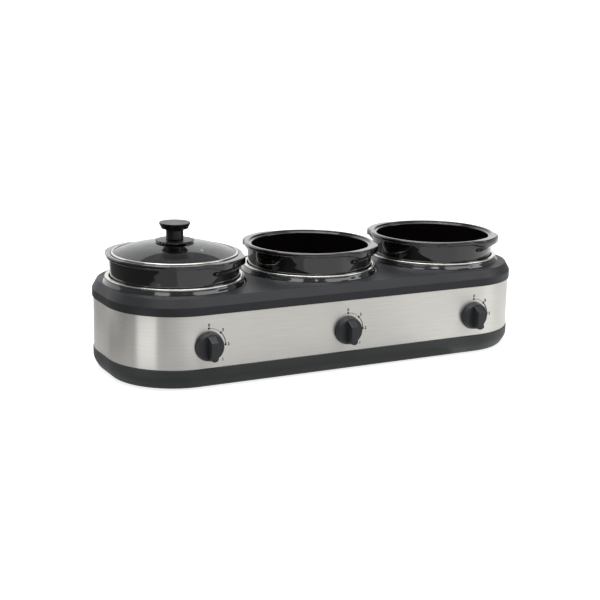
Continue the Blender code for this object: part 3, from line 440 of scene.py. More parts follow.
def patterned(name, grain, detail, tones, values, sheen=None, bump=None, space="Object"):
    """Finish from one noise, whose grain is its size, or its size along each axis, in metres.

    The noise runs the colour between two tones. It can also run the roughness over a sheen and raise a bump
    of a strength and a height. The values go to the shader as they are.
    """
    made, tree, shader, coordinates = new_finish(name)
    scale = tuple(1 / np.broadcast_to(grain, 3))
    grid = add(tree, "Mapping", {"Vector": coordinates[space], "Scale": scale})
    noise = add(tree, "TexNoise", {"Vector": grid, "Scale": 1.0, "Detail": detail})
    tone = add(tree, "Mix", {"Factor": noise, MIX_FIRST: tones[0], MIX_SECOND: tones[1]}, data_type="RGBA")
    connect(tree, shader, {"Base Color": tone.outputs[MIX_RESULT], **values})
    if sheen:
        gloss = add(tree, "MapRange", {"Value": noise, "To Min": sheen[0], "To Max": sheen[1]})
        connect(tree, shader, {"Roughness": gloss})
    if bump:
        relief = add(tree, "Bump", {"Strength": bump[0], "Distance": bump[1], "Height": noise})
        connect(tree, shader, {"Normal": relief})
    return made


def handled(made, grain, lowest, highest):
    """The finish with slow changes in roughness, as handling leaves them."""
    tree = made.node_tree
    spot = add(tree, "TexCoord").outputs["Object"]
    slow = add(tree, "TexNoise", {"Vector": spot, "Scale": 1 / grain, "Detail": 3.0})
    sheen = add(tree, "MapRange", {"Value": slow, **MIDDLE, "To Min": lowest, "To Max": highest})
    connect(tree, tree.nodes["Principled BSDF"], {"Roughness": sheen})
    return made


def moulded(name, base, roughness, grain, depth, gloss=0.5):
    """Moulded plastic or rubber, or paint over it.

    The eye gets an even colour, the fine grain of the tool and slow changes in sheen from handling.
    """
    tones = shade(base, 0.86), shade(base, 1.14)
    made = patterned(name, grain, 2.0, tones, {"Specular IOR Level": gloss}, bump=(0.4, depth))
    return handled(made, 0.045, roughness - 0.05, roughness + 0.05)


def belt_brushed(base):
    """Stainless sheet brushed along its length by a belt of about 180 grit.

    The grooves are drawn 1.2 mm apart and about 50 mm long, coarser than real ones so that they show. They
    spread each reflection upright: the wrap shows soft upright bands of light, with fine streaks along it.
    """
    made, tree, shader, coordinates = new_finish("stainless_belt_brushed")
    sheet = coordinates["UV"]
    groove_grid = add(tree, "Mapping", {"Vector": sheet, "Scale": (1 / 0.050, 1 / 0.0012, 1.0)})
    streak_grid = add(tree, "Mapping", {"Vector": sheet, "Scale": (1 / 0.090, 1 / 0.0050, 1.0)})
    groove = add(tree, "TexNoise", {"Vector": groove_grid, "Scale": 1.0, "Detail": 4.0, "Roughness": 0.65})
    streak = add(tree, "TexNoise", {"Vector": streak_grid, "Scale": 1.0, "Detail": 3.0})
    patch = add(tree, "TexNoise", {"Vector": sheet, "Scale": 1 / 0.035, "Detail": 2.0})
    fine_tone = add(tree, "Mix", {
        "Factor": groove, MIX_FIRST: shade(base, 0.70), MIX_SECOND: shade(base, 1.20),
    }, data_type="RGBA")
    tone = add(tree, "Mix", {
        "Factor": streak, MIX_FIRST: fine_tone.outputs[MIX_RESULT], MIX_SECOND: shade(base, 0.90),
    }, data_type="RGBA")
    sheen = add(tree, "MapRange", {"Value": patch, **MIDDLE, "To Min": 0.31, "To Max": 0.37})
    bump = add(tree, "Bump", {"Strength": 0.2, "Distance": 0.00005, "Height": groove})
    tangent = add(tree, "Tangent", direction_type="UV_MAP", uv_map="metres")
    connect(tree, shader, {
        "Base Color": tone.outputs[MIX_RESULT], "Metallic": 1.0, "Roughness": sheen, "Anisotropic": 0.8,
        "Anisotropic Rotation": 0.25, "Tangent": tangent, "Normal": bump,
    })
    return made


def spun_bright(name, base, roughness):
    """Stainless steel pressed and polished on a lathe.

    The eye gets a bright, nearly clean reflection, with fine rings 0.6 mm apart and a few soft smudges.
    """
    tones = shade(base, 0.93), shade(base, 1.05)
    ring = (0.120, 0.0006, 1.0)
    made = patterned(name, ring, 3.0, tones, {"Metallic": 1.0}, bump=(0.15, 0.00004), space="UV")
    return handled(made, 0.018, roughness - 0.04, roughness + 0.06)


def black_glaze(base, thin):
    """Stoneware under a fired black glaze.

    The eye gets a deep glassy skin whose reflections waver where the glaze sagged, with pin-prick dimples,
    and a brown tinge where it ran thin over the edge of the rim.
    """
    made, tree, shader, coordinates = new_finish("stoneware_black_glazed")
    spot = coordinates["Object"]
    sag_grid = add(tree, "Mapping", {"Vector": spot, "Scale": (1 / 0.050, 1 / 0.050, 1 / 0.012)})
    sag = add(tree, "TexNoise", {"Vector": sag_grid, "Scale": 1.0, "Detail": 1.0})
    dimple = add(tree, "TexNoise", {"Vector": spot, "Scale": 1 / 0.0022, "Detail": 2.0})
    cloud = add(tree, "TexNoise", {"Vector": spot, "Scale": 1 / 0.012, "Detail": 4.0})
    edge = add(tree, "Attribute", attribute_name="thin_glaze").outputs["Fac"]
    body = add(tree, "Mix", {
        "Factor": cloud, MIX_FIRST: shade(base, 0.6), MIX_SECOND: shade(base, 1.4),
    }, data_type="RGBA")
    tone = add(tree, "Mix", {
        "Factor": edge, MIX_FIRST: body.outputs[MIX_RESULT], MIX_SECOND: shade(thin),
    }, data_type="RGBA")
    sheen = add(tree, "MapRange", {"Value": dimple, "To Min": 0.03, "To Max": 0.11})
    wave = add(tree, "Bump", {"Strength": 0.6, "Distance": 0.0006, "Height": sag})
    fine = add(tree, "Bump", {"Strength": 0.08, "Distance": 0.0001, "Height": dimple, "Normal": wave})
    connect(tree, shader, {
        "Base Color": tone.outputs[MIX_RESULT], "Roughness": sheen, "IOR": 1.55, "Coat Weight": 0.8,
        "Coat Roughness": 0.03, "Normal": fine, "Coat Normal": wave,
    })
    return made


def baked_enamel(base):
    """Steel ring under baked black enamel.

    The eye gets a dark, smooth gloss with a trace of orange peel.
    """
    coat = {"Coat Weight": 1.0, "Coat Roughness": 0.05}
    tones = shade(base, 0.88), shade(base, 1.12)
    return patterned("enamel_baked_gloss", 0.0030, 1.0, tones, coat, sheen=(0.07, 0.15), bump=(0.10, 0.0002))


def tempered_glass():
    """Clear tempered glass, pressed in a mould.

    The eye gets sharp reflections that waver a little, with a faint green at the edge.
    """
    clear = {"Roughness": 0.0, "IOR": 1.50, "Transmission Weight": 1.0}
    tones = shade(linear("f2f8f6")), shade(linear("fbfdfd"))
    return patterned("glass_tempered_clear", 0.030, 0.0, tones, clear, bump=(0.05, 0.0004))


def mottled_metal(name, code, roughness, grain):
    """Plated, rolled or turned metal.

    The eye gets a plain metal sheen with soft mottling at the size of the metal's grain.
    """
    tones = shade(linear(code), 0.82), shade(linear(code), 1.12)
    return patterned(name, grain, 3.0, tones, {"Metallic": 1.0}, sheen=(roughness - 0.10, roughness + 0.10))


def fibre_felt():
    """Pressed ceramic fibre.

    The eye gets a dry, matt, pale felt of threads about 3 mm long.
    """
    tones = shade(linear("b9b3a5")), shade(linear("e8e4d8"))
    thread = (0.003, 0.003, 0.0007)
    return patterned("ceramic_fibre_pressed", thread, 5.0, tones, {"Roughness": 0.95}, bump=(0.6, 0.0004))


def screen_ink(base):
    """Screen-printed ink on steel.

    The eye gets a thin matt black film whose cover is slightly uneven.
    """
    matt = {"Roughness": 0.6, "Specular IOR Level": 0.3}
    return patterned("ink_screen_printed", 0.0008, 2.0, (shade(base, 0.7), shade(base, 1.5)), matt)


# Pieces

def build_tray(finish, sizes):
    """Moulded tray with screw pillars, and with vents, foot holes and screw pockets through its floor."""
    bottom = FOOT_HEIGHT
    top = high("base_tray")[2]
    inner = -sizes.band_gauge - TOUCH
    wall = 0.0020
    tuck = -sizes.base_tuck
    cap_reach = 0.0250
    profile = rounded([
        (tuck - cap_reach, bottom, 0.0), (tuck - 0.0008, bottom, 0.0010),
        (tuck + 0.0018, bottom + 0.0026, 0.0040), (BASE_PROUD, bottom + sizes.base_round, 0.0180),
        (BASE_PROUD, BASE_TOP, 0.0006),
        (inner, BASE_TOP, 0.0), (inner, top, 0.0), (inner - wall, top, 0.0),
        (inner - wall, bottom + sizes.base_round, 0.0060),
        (tuck - wall, bottom + sizes.tray_floor, 0.0), (tuck - cap_reach, bottom + sizes.tray_floor, 0.0),
    ], steps=10)
    tray = swept("base_tray", profile, caps=True)
    clean(tray)
    screws = [(low(f"case_screw_{n}") + high(f"case_screw_{n}")) / 2 for n in range(1, 9)]
    pillar, pocket, pocket_depth = 0.0062, 0.0042, 0.0083
    foot_hole = 0.0028
    slot_half, slot_width, slot_pitch = 0.0160, 0.0018, 0.0120
    shield = low("heat_shield")[2]
    seat = high("heat_shield")[2] - pocket_depth
    pillars = [rod(pillar, bottom + 0.0010, shield - TOUCH, spot[:2]) for spot in screws]
    tray = combine(tray, pillars, "UNION")
    below, above = bottom - 0.0050, bottom + 0.0060
    cuts = [rod(pocket, below, seat, spot[:2]) for spot in screws]
    cuts += [rod(foot_hole, below, above, foot_axis(name)) for name in FEET]
    for _, x in WELLS:
        for row in range(4):
            y = HOUSING_Y + (row - 1.5) * slot_pitch
            cuts.append(slab(slot_half, slot_width, below, above, (x, y), 0.0016))
    tray = combine(tray, cuts, "DIFFERENCE")
    place(piece("base_tray_moulding", tray, finish), "housing", "base", "base_tray")


FEET = ("front_left", "rear_left", "front_right", "rear_right")


def foot_axis(name):
    """Middle of a foot, seen from above."""
    return ((low(f"foot_{name}") + high(f"foot_{name}")) / 2)[:2]


def build_feet(finish):
    """Rubber feet: a tapered pad with a rounded edge and a shallow ring in its sole."""
    hollow = 0.0006
    stud = 0.0025
    for name in FEET:
        node = f"foot_{name}"
        radius = high(node)[0] - foot_axis(name)[0]
        top = FOOT_HEIGHT - TOUCH
        profile = rounded([
            (0.0, hollow, 0.0), (radius - 0.0040, hollow, 0.0),
            (radius - 0.0038, 0.0, 0.0), (radius - 0.0014, 0.0, 0.0008),
            (radius, top * 0.6, 0.0010), (radius, top, 0.0002),
            (stud, top, 0.0), (stud, high(node)[2], 0.0004), (0.0, high(node)[2], 0.0),
        ])
        lathed(f"foot_pad_{name}", profile, foot_axis(name), finish, "housing", "rubber", node, 64)


def build_band(finish, sizes):
    """Steel band: a closed wrap with eased edges, three shaft holes in front and the cord hole behind."""
    gauge = sizes.band_gauge
    ease = 0.00025
    shaft_hole = 0.0049
    cord_hole = 0.0068
    reach = 0.0050
    profile = rounded([
        (0.0, BAND_LOW[2], ease), (0.0, BAND_HIGH[2], ease),
        (-gauge, BAND_HIGH[2], ease), (-gauge, BAND_LOW[2], ease),
    ], closed=True, steps=3)
    band = swept("steel_band", profile, ring=True)
    clean(band)
    cuts = [facing(rod(shaft_hole, -reach, reach, (0, 0)), x, BAND_FRONT, DIAL_Z) for _, x in WELLS]
    gland = (low("cord_inlet_bush") + high("cord_inlet_bush")) / 2
    cuts.append(facing(rod(cord_hole, -reach, reach, (0, 0)), gland[0], BAND_HIGH[1], gland[2]))
    band = combine(band, cuts, "DIFFERENCE")
    place(piece("steel_band_wrap", band, finish), "housing", "band", "steel_band")


def build_cover(finish, sizes):
    """Top cover: upright lip, leaning bevel and flat deck, with an opening for each well."""
    lip_top = DECK - sizes.bevel_rise
    lip_low = lip_top - sizes.lip_height
    wall = sizes.cover_wall
    drop = wall * sizes.bevel_rise / math.hypot(sizes.bevel_rise, sizes.bevel_inset)
    edge = LIP_OVERHANG - sizes.bevel_inset
    cap_reach = 0.0200
    profile = rounded([
        (edge - cap_reach, DECK, 0.0), (edge, DECK, 0.0009), (LIP_OVERHANG, lip_top, 0.0012),
        (LIP_OVERHANG, lip_low, 0.0005), (TOUCH, lip_low, 0.0003), (TOUCH, lip_top - drop, 0.0010),
        (edge - drop / 2, DECK - wall, 0.0), (edge - cap_reach, DECK - wall, 0.0),
    ], steps=8)
    cover = swept("top_cover", profile, caps=True)
    clean(cover)
    bore = BEAD_OUTER - 0.0044
    reach = 0.0100
    cuts = [rod(bore, DECK - reach, DECK + reach, (x, HOUSING_Y), 192) for _, x in WELLS]
    cover = combine(cover, cuts, "DIFFERENCE")
    place(piece("top_cover_moulding", cover, finish), "housing", "cover", "top_cover")


def crock_radius(z, pots):
    """Outside radius of a crock's body at a height."""
    under = CROCK_TOP - pots.rim_height
    return pots.crock_radius - pots.crock_taper * (under - z) / (under - CROCK_FOOT)


def build_wells(steel, enamel, pots):
    """Pressed steel wells with a rolled bead, each over a flared enamel collar."""
    slip = 0.0015
    wall = 0.0008
    floor = WELL_BASE + wall
    bead_inner = crock_radius(BEAD_TOP, pots) + slip
    bead_low = COLLAR_TOP + TOUCH
    corner = 0.0080
    foot = floor + corner
    foot_radius = crock_radius(floor, pots) + slip
    outer_foot = crock_radius(foot, pots) + slip + wall
    well = rounded([
        (0.0, floor, 0.0), (foot_radius, floor, corner),
        (bead_inner, BEAD_TOP, 0.0020), (BEAD_OUTER, BEAD_TOP - 0.0010, 0.0044),
        (BEAD_OUTER, bead_low, 0.0003), (bead_inner + wall, bead_low, 0.0),
        (outer_foot, foot, 0.0), (foot_radius, floor - wall, corner), (0.0, floor - wall, 0.0),
    ], steps=10)
    bore = bead_inner + wall + 2 * TOUCH
    collar = rounded([
        (COLLAR_RADIUS, COLLAR_LOW, 0.0), (COLLAR_RADIUS - 0.0006, COLLAR_LOW + 0.0012, 0.0010),
        (BEAD_OUTER + 0.0010, COLLAR_TOP - 0.0016, 0.0030), (BEAD_OUTER + 0.0004, COLLAR_TOP, 0.0006),
        (bore, COLLAR_TOP, 0.0), (bore, COLLAR_LOW, 0.0),
    ], closed=True, steps=8)
    for side, x in WELLS:
        spot = (x, HOUSING_Y)
        lathed(f"well_cup_{side}", well, spot, steel, "housing", "polished_steel", f"well_{side}")
        lathed(f"collar_ring_{side}", collar, spot, enamel, "housing", "collar", f"collar_{side}", ring=True)


def smoothstep(share):
    """Eases from 0 to 1 with level ends."""
    share = np.clip(share, 0, 1)
    return share * share * (3 - 2 * share)


EAR_MIDDLES = (-54.0, 126.0)
EAR_HALF, EAR_EASE = 30.0, 15.0


def ear_share(angle):
    """How much of the full ear stands out at each angle, in degrees: 1 on an ear and 0 away from both."""
    away = np.abs((angle - np.array(EAR_MIDDLES)[:, None] + 180) % 360 - 180)
    return smoothstep((EAR_HALF - away) / EAR_EASE).max(axis=0)


def build_crocks(finish, pots):
    """Stoneware pots with a rolled rim, a ledge for a lid and two lifting ears.

    A pot is a turned profile. On the rim each point moves out by ear reach times ear share. The points under
    the rim also drop, which gives each ear its thick sloping underside.
    """
    under = CROCK_TOP - pots.rim_height
    rim = pots.crock_radius + pots.rim_reach
    inner = pots.crock_radius - pots.crock_wall
    ledge = inner + pots.ledge_width
    step = CROCK_TOP - pots.ledge_depth
    floor = CROCK_FOOT + pots.crock_floor
    ear_foot = under - pots.ear_drop
    foot_radius = crock_radius(CROCK_FOOT, pots)
    hollow = CROCK_FOOT + 0.0012
    profile = rounded([
        (0.0, hollow, 0.0), (foot_radius - 0.0110, hollow, 0.0004),
        (foot_radius - 0.0096, CROCK_FOOT, 0.0008), (foot_radius, CROCK_FOOT, 0.0090),
        (crock_radius(ear_foot, pots), ear_foot, 0.0300), (pots.crock_radius, under, 0.0012),
        (rim, under + 0.0008, 0.0016), (rim, CROCK_TOP, 0.0022),
        (ledge, CROCK_TOP, 0.0014), (ledge, step, 0.0008), (inner, step, 0.0045),
        (crock_radius(floor, pots) - pots.crock_wall, floor, 0.0150), (0.0, floor, 0.0),
    ], steps=10)
    share = np.linspace(0, 1, 10)[1:-1, None]
    split = int(np.argmin(np.abs(profile[:, 1] - ear_foot) + (profile[:, 0] < pots.crock_radius - 0.0020)))
    body = profile[split] + share * (profile[split + 1] - profile[split])
    profile = np.concatenate([profile[:split + 1], body, profile[split + 1:]])
    radius, z = profile[:, :1], profile[:, 1:]
    outside = radius > inner + 0.0010
    rising = smoothstep((z - ear_foot) / (under - ear_foot)) * outside
    falling = smoothstep((radius - ledge - 0.0006) / (rim - ledge - 0.0020))
    stands = np.where(z > under, rising * falling, rising)
    below_top = smoothstep((CROCK_TOP - 0.0008 - z) / 0.0045)
    drooping = rising * below_top * smoothstep((radius - pots.crock_radius + 0.0030) / 0.0030)
    steps = 288
    angle = np.arange(steps) * (2 * math.pi / steps)
    ear = ear_share(np.degrees(angle))[None]
    reach = radius + pots.ear_reach * stands * ear
    droop = 0.0050
    height = z - droop * drooping * ear * (z > ear_foot)
    across = np.linspace(0, 2 * math.pi * rim, steps + 1)
    along = path_length(np.concatenate([profile, profile[:1]]))
    edge = np.exp(-((z - CROCK_TOP) / 0.0007) ** 2) * np.exp(-((radius - rim + 0.0010) / 0.0008) ** 2)
    for side, x in WELLS:
        node = f"crock_{side}"
        points = np.stack([x + reach * np.cos(angle), HOUSING_Y + reach * np.sin(angle), height], -1)
        mesh = grid_mesh(node, points, across, along)
        thin = mesh.attributes.new("thin_glaze", "FLOAT", "POINT")
        shares = np.broadcast_to(edge, (len(profile), steps))
        thin.data.foreach_set("value", shares.astype(np.float32).reshape(-1))
        place(piece(f"crock_pot_{side}", mesh, finish, sharp=60.0), node, "crock", node)


def build_lid(glass, steel, knob, zinc, pots):
    """Domed glass in a steel channel, with a disc, a knob, a washer and a screw at its crown.

    The dome is part of a sphere of radius (lap^2 + rise^2) / (2 * rise), which rises from the channel's lap.
    """
    def span(node):
        """A node's foot, its top and its radius about the lid's axis."""
        return low(node)[2], high(node)[2], high(node)[0] + PITCH

    centre = (-PITCH, HOUSING_Y)
    bore = 0.0031
    gauge = 0.0006
    band_low, _, edge = span("lid_band")
    disc_low, disc_high, disc_edge = span("lid_knob_base")
    lap = edge - 0.0026
    flat = band_low + gauge + TOUCH
    rise = disc_low - TOUCH - pots.glass - flat
    sphere = (lap**2 + rise**2) / (2 * rise)
    radius = np.linspace(bore, lap, 60)
    under = flat + rise - sphere + np.sqrt(sphere**2 - radius**2)
    edge_glass = pots.glass - 0.0013
    glass_top = flat + edge_glass
    thickness = pots.glass + (edge_glass - pots.glass) * smoothstep((radius / lap - 0.5) / 0.5)
    glass_edge = edge - gauge - TOUCH
    rim = np.array([
        (glass_edge - 0.0006, flat), (glass_edge - 0.0002, flat + 0.0003), (glass_edge, flat + 0.0008),
        (glass_edge, glass_top - 0.0008), (glass_edge - 0.0002, glass_top - 0.0003),
        (glass_edge - 0.0006, glass_top),
    ])
    pane = np.concatenate([np.stack([radius, under], 1), rim, np.stack([radius, under + thickness], 1)[::-1]])
    lathed("lid_dome", pane, centre, glass, "lid", "lid_glass", "lid_glass", ring=True)
    band_high = glass_top + gauge + TOUCH
    channel = rounded([
        (lap, band_low, 0.0002), (edge, band_low, 0.0012),
        (edge, band_high, 0.0012), (lap, band_high, 0.0002),
        (lap, band_high - gauge, 0.0), (edge - gauge, band_high - gauge, 0.0006),
        (edge - gauge, band_low + gauge, 0.0006), (lap, band_low + gauge, 0.0),
    ], closed=True, steps=6)
    lathed("lid_channel", channel, centre, steel, "lid", "polished_steel", "lid_band", ring=True)
    disc = rounded([
        (bore, disc_low, 0.0), (disc_edge - 0.0004, disc_low, 0.0006),
        (disc_edge, (disc_low + disc_high) / 2 - 0.0002, 0.0006),
        (disc_edge - 0.0012, disc_high - 0.0008, 0.0008),
        (0.0160, disc_high - 0.0004, 0.0040), (0.0120, disc_high, 0.0), (bore, disc_high, 0.0),
    ], closed=True, steps=6)
    lathed("lid_grip_disc", disc, centre, knob, "lid", "lid_knob", "lid_knob_base", 160, True)
    foot, crown, cap_edge = span("lid_knob")
    stem = 0.0124
    cap_low = crown - 0.0090
    handle = rounded([
        (bore, foot, 0.0), (stem, foot, 0.0004), (stem - 0.0003, (foot + cap_low) / 2, 0.0300),
        (stem, cap_low, 0.0030), (0.0187, cap_low + 0.0001, 0.0006),
        (cap_edge - 0.0002, crown - 0.0016, 0.0008), (cap_edge - 0.0006, crown - 0.0004, 0.0008),
        (cap_edge - 0.0040, crown - 0.0006, 0.0020),
        (0.0, crown - 0.0002, 0.0),
    ], steps=8)
    lathed("lid_grip", handle, centre, knob, "lid", "lid_knob", "lid_knob", 160)
    washer_low, washer_high, washer_edge = span("lid_washer")
    washer = rounded([
        (bore, washer_low, 0.0), (washer_edge, washer_low, 0.0005),
        (washer_edge, washer_high, 0.0003), (bore, washer_high, 0.0),
    ], closed=True)
    lathed("lid_seal", washer, centre, steel, "lid", "polished_steel", "lid_washer", 128, True)
    head_low, screw_top, _ = span("lid_screw")
    head_high = washer_low - TOUCH
    head, shank = 0.0050, 0.0025
    screw = rounded([
        (0.0, head_low + 0.0010, 0.0), (0.0018, head_low + 0.0010, 0.0), (0.0020, head_low, 0.0002),
        (head, head_low + 0.0005, 0.0008), (head, head_high, 0.0002),
        (shank, head_high, 0.0), (shank, screw_top, 0.0), (0.0, screw_top, 0.0),
    ])
    lathed("lid_fixing", screw, centre, zinc, "lid", "zinc_steel", "lid_screw", 64)


def grip_outline(half, above, below, corner):
    """Outline of a dial's grip: nearly square at its pointing end and round at the other."""
    return rounded([
        (half, above, corner),
        (-half, above, corner),
        (-half, -below, half * 0.96),
        (half, -below, half * 0.96),
    ], closed=True, steps=9)


def build_dials(plastic, sizes):
    """Dials: a hollow drafted skirt with a straight grip across its face, which ends in a sloping facet."""
    face = high("dial_centre")[1] - low("dial_centre")[1] - sizes.grip_height + 0.0010
    lift = 0.0010
    face_radius = sizes.radius - sizes.draft
    wall = 0.0018
    skirt = rounded([
        (0.0, face - wall, 0.0),
        (face_radius - wall, face - wall, 0.0006),
        (sizes.radius - wall, lift, 0.0),
        (sizes.radius, lift, 0.0003),
        (face_radius, face, 0.0011),
        (0.0, face, 0.0),
    ], steps=8)
    height = np.array((0.0, 0.02, 0.30, 0.60, 0.90, 0.93))
    edge = np.linspace(0, math.pi / 2, 7)
    ease = 0.0008
    rows = []
    for share, inset in [(h, 0.0) for h in height] + [(None, e) for e in edge]:
        drawn = share if share is not None else 1 - ease * (1 - math.sin(inset)) / sizes.grip_height
        pull = 0.0 if share is not None else ease * (1 - math.cos(inset))
        half = sizes.grip_width / 2 - 0.0005 * drawn - pull
        outline = grip_outline(half, 0.0167 - 0.0074 * drawn - pull, 0.0178 - 0.0005 * drawn - pull, 0.0009)
        level = face - 0.0006 + (sizes.grip_height + 0.0006) * drawn
        rows.append(np.column_stack([outline, np.full(len(outline), level)]))
    points = np.stack(rows)
    for side, x in WELLS:
        body = turned("dial", skirt, (0.0, 0.0), 128)
        clean(body)
        grip = grid_mesh("grip", points, np.zeros(points.shape[1] + 1), np.zeros(len(points) + 1), caps=True)
        clean(grip)
        made = combine(body, [grip], "UNION")
        made = piece(f"dial_knob_{side}", facing(made, x, BAND_FRONT, DIAL_Z), plastic, sharp=32.0)
        place(made, f"dial_{side}", "dial", f"dial_{side}")


def arc_strip(radius, width, start, end, film, steps):
    """Closed strip along an arc, measured clockwise from the top in degrees."""
    angle = np.radians(np.linspace(start, end, steps))
    section = np.array([(-width / 2, 0.0), (width / 2, 0.0), (width / 2, film), (-width / 2, film)])
    reach = radius + section[:, :1]
    height = np.broadcast_to(section[:, 1:], (4, steps))
    points = np.stack([reach * np.sin(angle), reach * np.cos(angle), height], -1).transpose(1, 0, 2)
    return grid_mesh("strip", points, np.zeros(5), np.zeros(steps + 1), caps=True)


def numeral_body(numeral, height, film, x, y):
    """Closed mesh of a numeral printed at a place, as thick as the film."""
    text = bpy.data.curves.new("numeral", "FONT")
    text.body = numeral
    text.size = height * 1.38
    text.align_x = "CENTER"
    text.align_y = "CENTER"
    text.extrude = film / 2
    text.offset = 0.00022
    holder = bpy.data.objects.new("numeral", text)
    bpy.context.scene.collection.objects.link(holder)
    graph = bpy.context.evaluated_depsgraph_get()
    solid = bpy.data.meshes.new_from_object(holder.evaluated_get(graph), depsgraph=graph)
    solid.transform(Matrix.Translation((x, y, film / 2)))
    bpy.data.objects.remove(holder)
    bpy.data.curves.remove(text)
    return solid


def build_scales(ink, sizes):
    """Printed scale round each dial: an arc, a dot for each setting but the last, and the numerals."""
    film = 0.00006
    dot = 0.00160
    radius = sizes.scale_radius
    away = radius + 0.0045
    last = 135
    settings = ((0, "0"), (45, "3"), (90, "2"), (last, "1"))
    for side, x in WELLS:
        shapes = [
            arc_strip(radius, 0.00055, 4, 41, film, 24),
            arc_strip(radius, 0.00110, 47, 88, film, 24),
        ]
        for angle, numeral in settings:
            turn = math.radians(angle)
            across, up = math.sin(turn), math.cos(turn)
            if angle < last:
                shapes.append(rod(dot, 0.0, film, (radius * across, radius * up), 24))
            shapes.append(numeral_body(numeral, sizes.numeral, film, away * across, away * up))
        mesh = facing(joined(shapes), x, BAND_FRONT - 0.00002, DIAL_Z)
        place(piece(f"dial_scale_{side}", mesh, ink), "housing", "dial")


def build_inlet(finish):
    """Rubber bush in the rear of the band where the cord enters, with a ribbed snout."""
    node = "cord_inlet_bush"
    spot = (low(node) + high(node)) / 2
    bore = 0.0036
    flange = high(node)[0] - spot[0]
    inside = low(node)[1] - BAND_HIGH[1]
    snout = high(node)[1] - BAND_HIGH[1]
    body = flange - 0.0022
    profile = rounded([
        (bore, inside, 0.0), (flange - 0.0011, inside, 0.0003), (flange - 0.0011, -0.0011, 0.0003),
        (body, -0.0011, 0.0), (body, TOUCH, 0.0), (flange, TOUCH, 0.0002),
        (flange, 0.0023, 0.0007), (body, 0.0023, 0.0004), (body - 0.0003, 0.0038, 0.0003),
        (body - 0.0008, 0.0041, 0.0002), (body - 0.0008, 0.0048, 0.0002), (body - 0.0005, 0.0051, 0.0002),
        (body - 0.0009, 0.0064, 0.0003), (body - 0.0015, snout, 0.0006), (bore, snout, 0.0004),
    ], closed=True, steps=6)
    mesh = turned("inlet", profile, (0.0, 0.0), 96, ring=True)
    mesh = facing(mesh, spot[0], BAND_HIGH[1], spot[2], back=True)
    place(piece("cord_inlet_grommet", mesh, finish), "housing", "rubber", node)


# Operators

def finishes():
    """The colours chosen by the user."""
    return bpy.context.scene.buffet_finishes


class BuildTray(bpy.types.Operator):
    """Build the moulded tray and its rubber feet"""

    bl_idname = "buffet.tray"
    bl_label = "Tray and Feet"

    def execute(self, context):
        finish = moulded("polypropylene_moulded_charcoal", finishes().base, 0.46, 0.0011, 0.0001)
        build_tray(finish, context.scene.buffet_housing)
        build_feet(moulded("rubber_moulded_black", linear("1b1b1b"), 0.78, 0.0016, 0.0002, 0.3))
        return {"FINISHED"}


class BuildBand(bpy.types.Operator):
    """Build the brushed steel band and the cord's inlet"""

    bl_idname = "buffet.band"
    bl_label = "Band and Inlet"

    def execute(self, context):
        build_band(belt_brushed(finishes().steel), context.scene.buffet_housing)
        build_inlet(moulded("rubber_moulded_grommet", linear("161616"), 0.70, 0.0012, 0.0002, 0.35))
        return {"FINISHED"}


class BuildCover(bpy.types.Operator):
    """Build the top cover"""

    bl_idname = "buffet.cover"
    bl_label = "Top Cover"

    def execute(self, context):
        finish = moulded("polyester_paint_satin_charcoal", finishes().cover, 0.44, 0.0013, 0.0001, 0.4)
        build_cover(finish, context.scene.buffet_housing)
        return {"FINISHED"}


class BuildWells(bpy.types.Operator):
    """Build the three steel wells and their enamel collars"""

    bl_idname = "buffet.wells"
    bl_label = "Wells and Collars"

    def execute(self, context):
        steel = spun_bright("stainless_spun_bright", finishes().steel, 0.16)
        build_wells(steel, baked_enamel(finishes().collar), context.scene.buffet_pots)
        return {"FINISHED"}


class BuildCrocks(bpy.types.Operator):
    """Build the three glazed stoneware crocks"""

    bl_idname = "buffet.crocks"
    bl_label = "Crocks"

    def execute(self, context):
        build_crocks(black_glaze(finishes().glaze, finishes().glaze_thin), context.scene.buffet_pots)
        return {"FINISHED"}


class BuildLid(bpy.types.Operator):
    """Build the glass lid with its knob"""

    bl_idname = "buffet.lid"
    bl_label = "Lid"

    def execute(self, context):
        steel = spun_bright("stainless_rolled_channel", finishes().steel, 0.14)
        knob = moulded("phenolic_moulded_black", finishes().knob, 0.28, 0.0009, 0.00005)
        zinc = mottled_metal("steel_zinc_plated_bright", "b4b6b9", 0.30, 0.0020)
        build_lid(tempered_glass(), steel, knob, zinc, context.scene.buffet_pots)
        return {"FINISHED"}


class BuildDials(bpy.types.Operator):
    """Build the three dials and their printed scales"""

    bl_idname = "buffet.dials"
    bl_label = "Dials and Scales"

    def execute(self, context):
        plastic = moulded("abs_moulded_charcoal", finishes().dial, 0.40, 0.0008, 0.00006)
        build_dials(plastic, context.scene.buffet_dials)
        build_scales(screen_ink(finishes().ink), context.scene.buffet_dials)
        return {"FINISHED"}


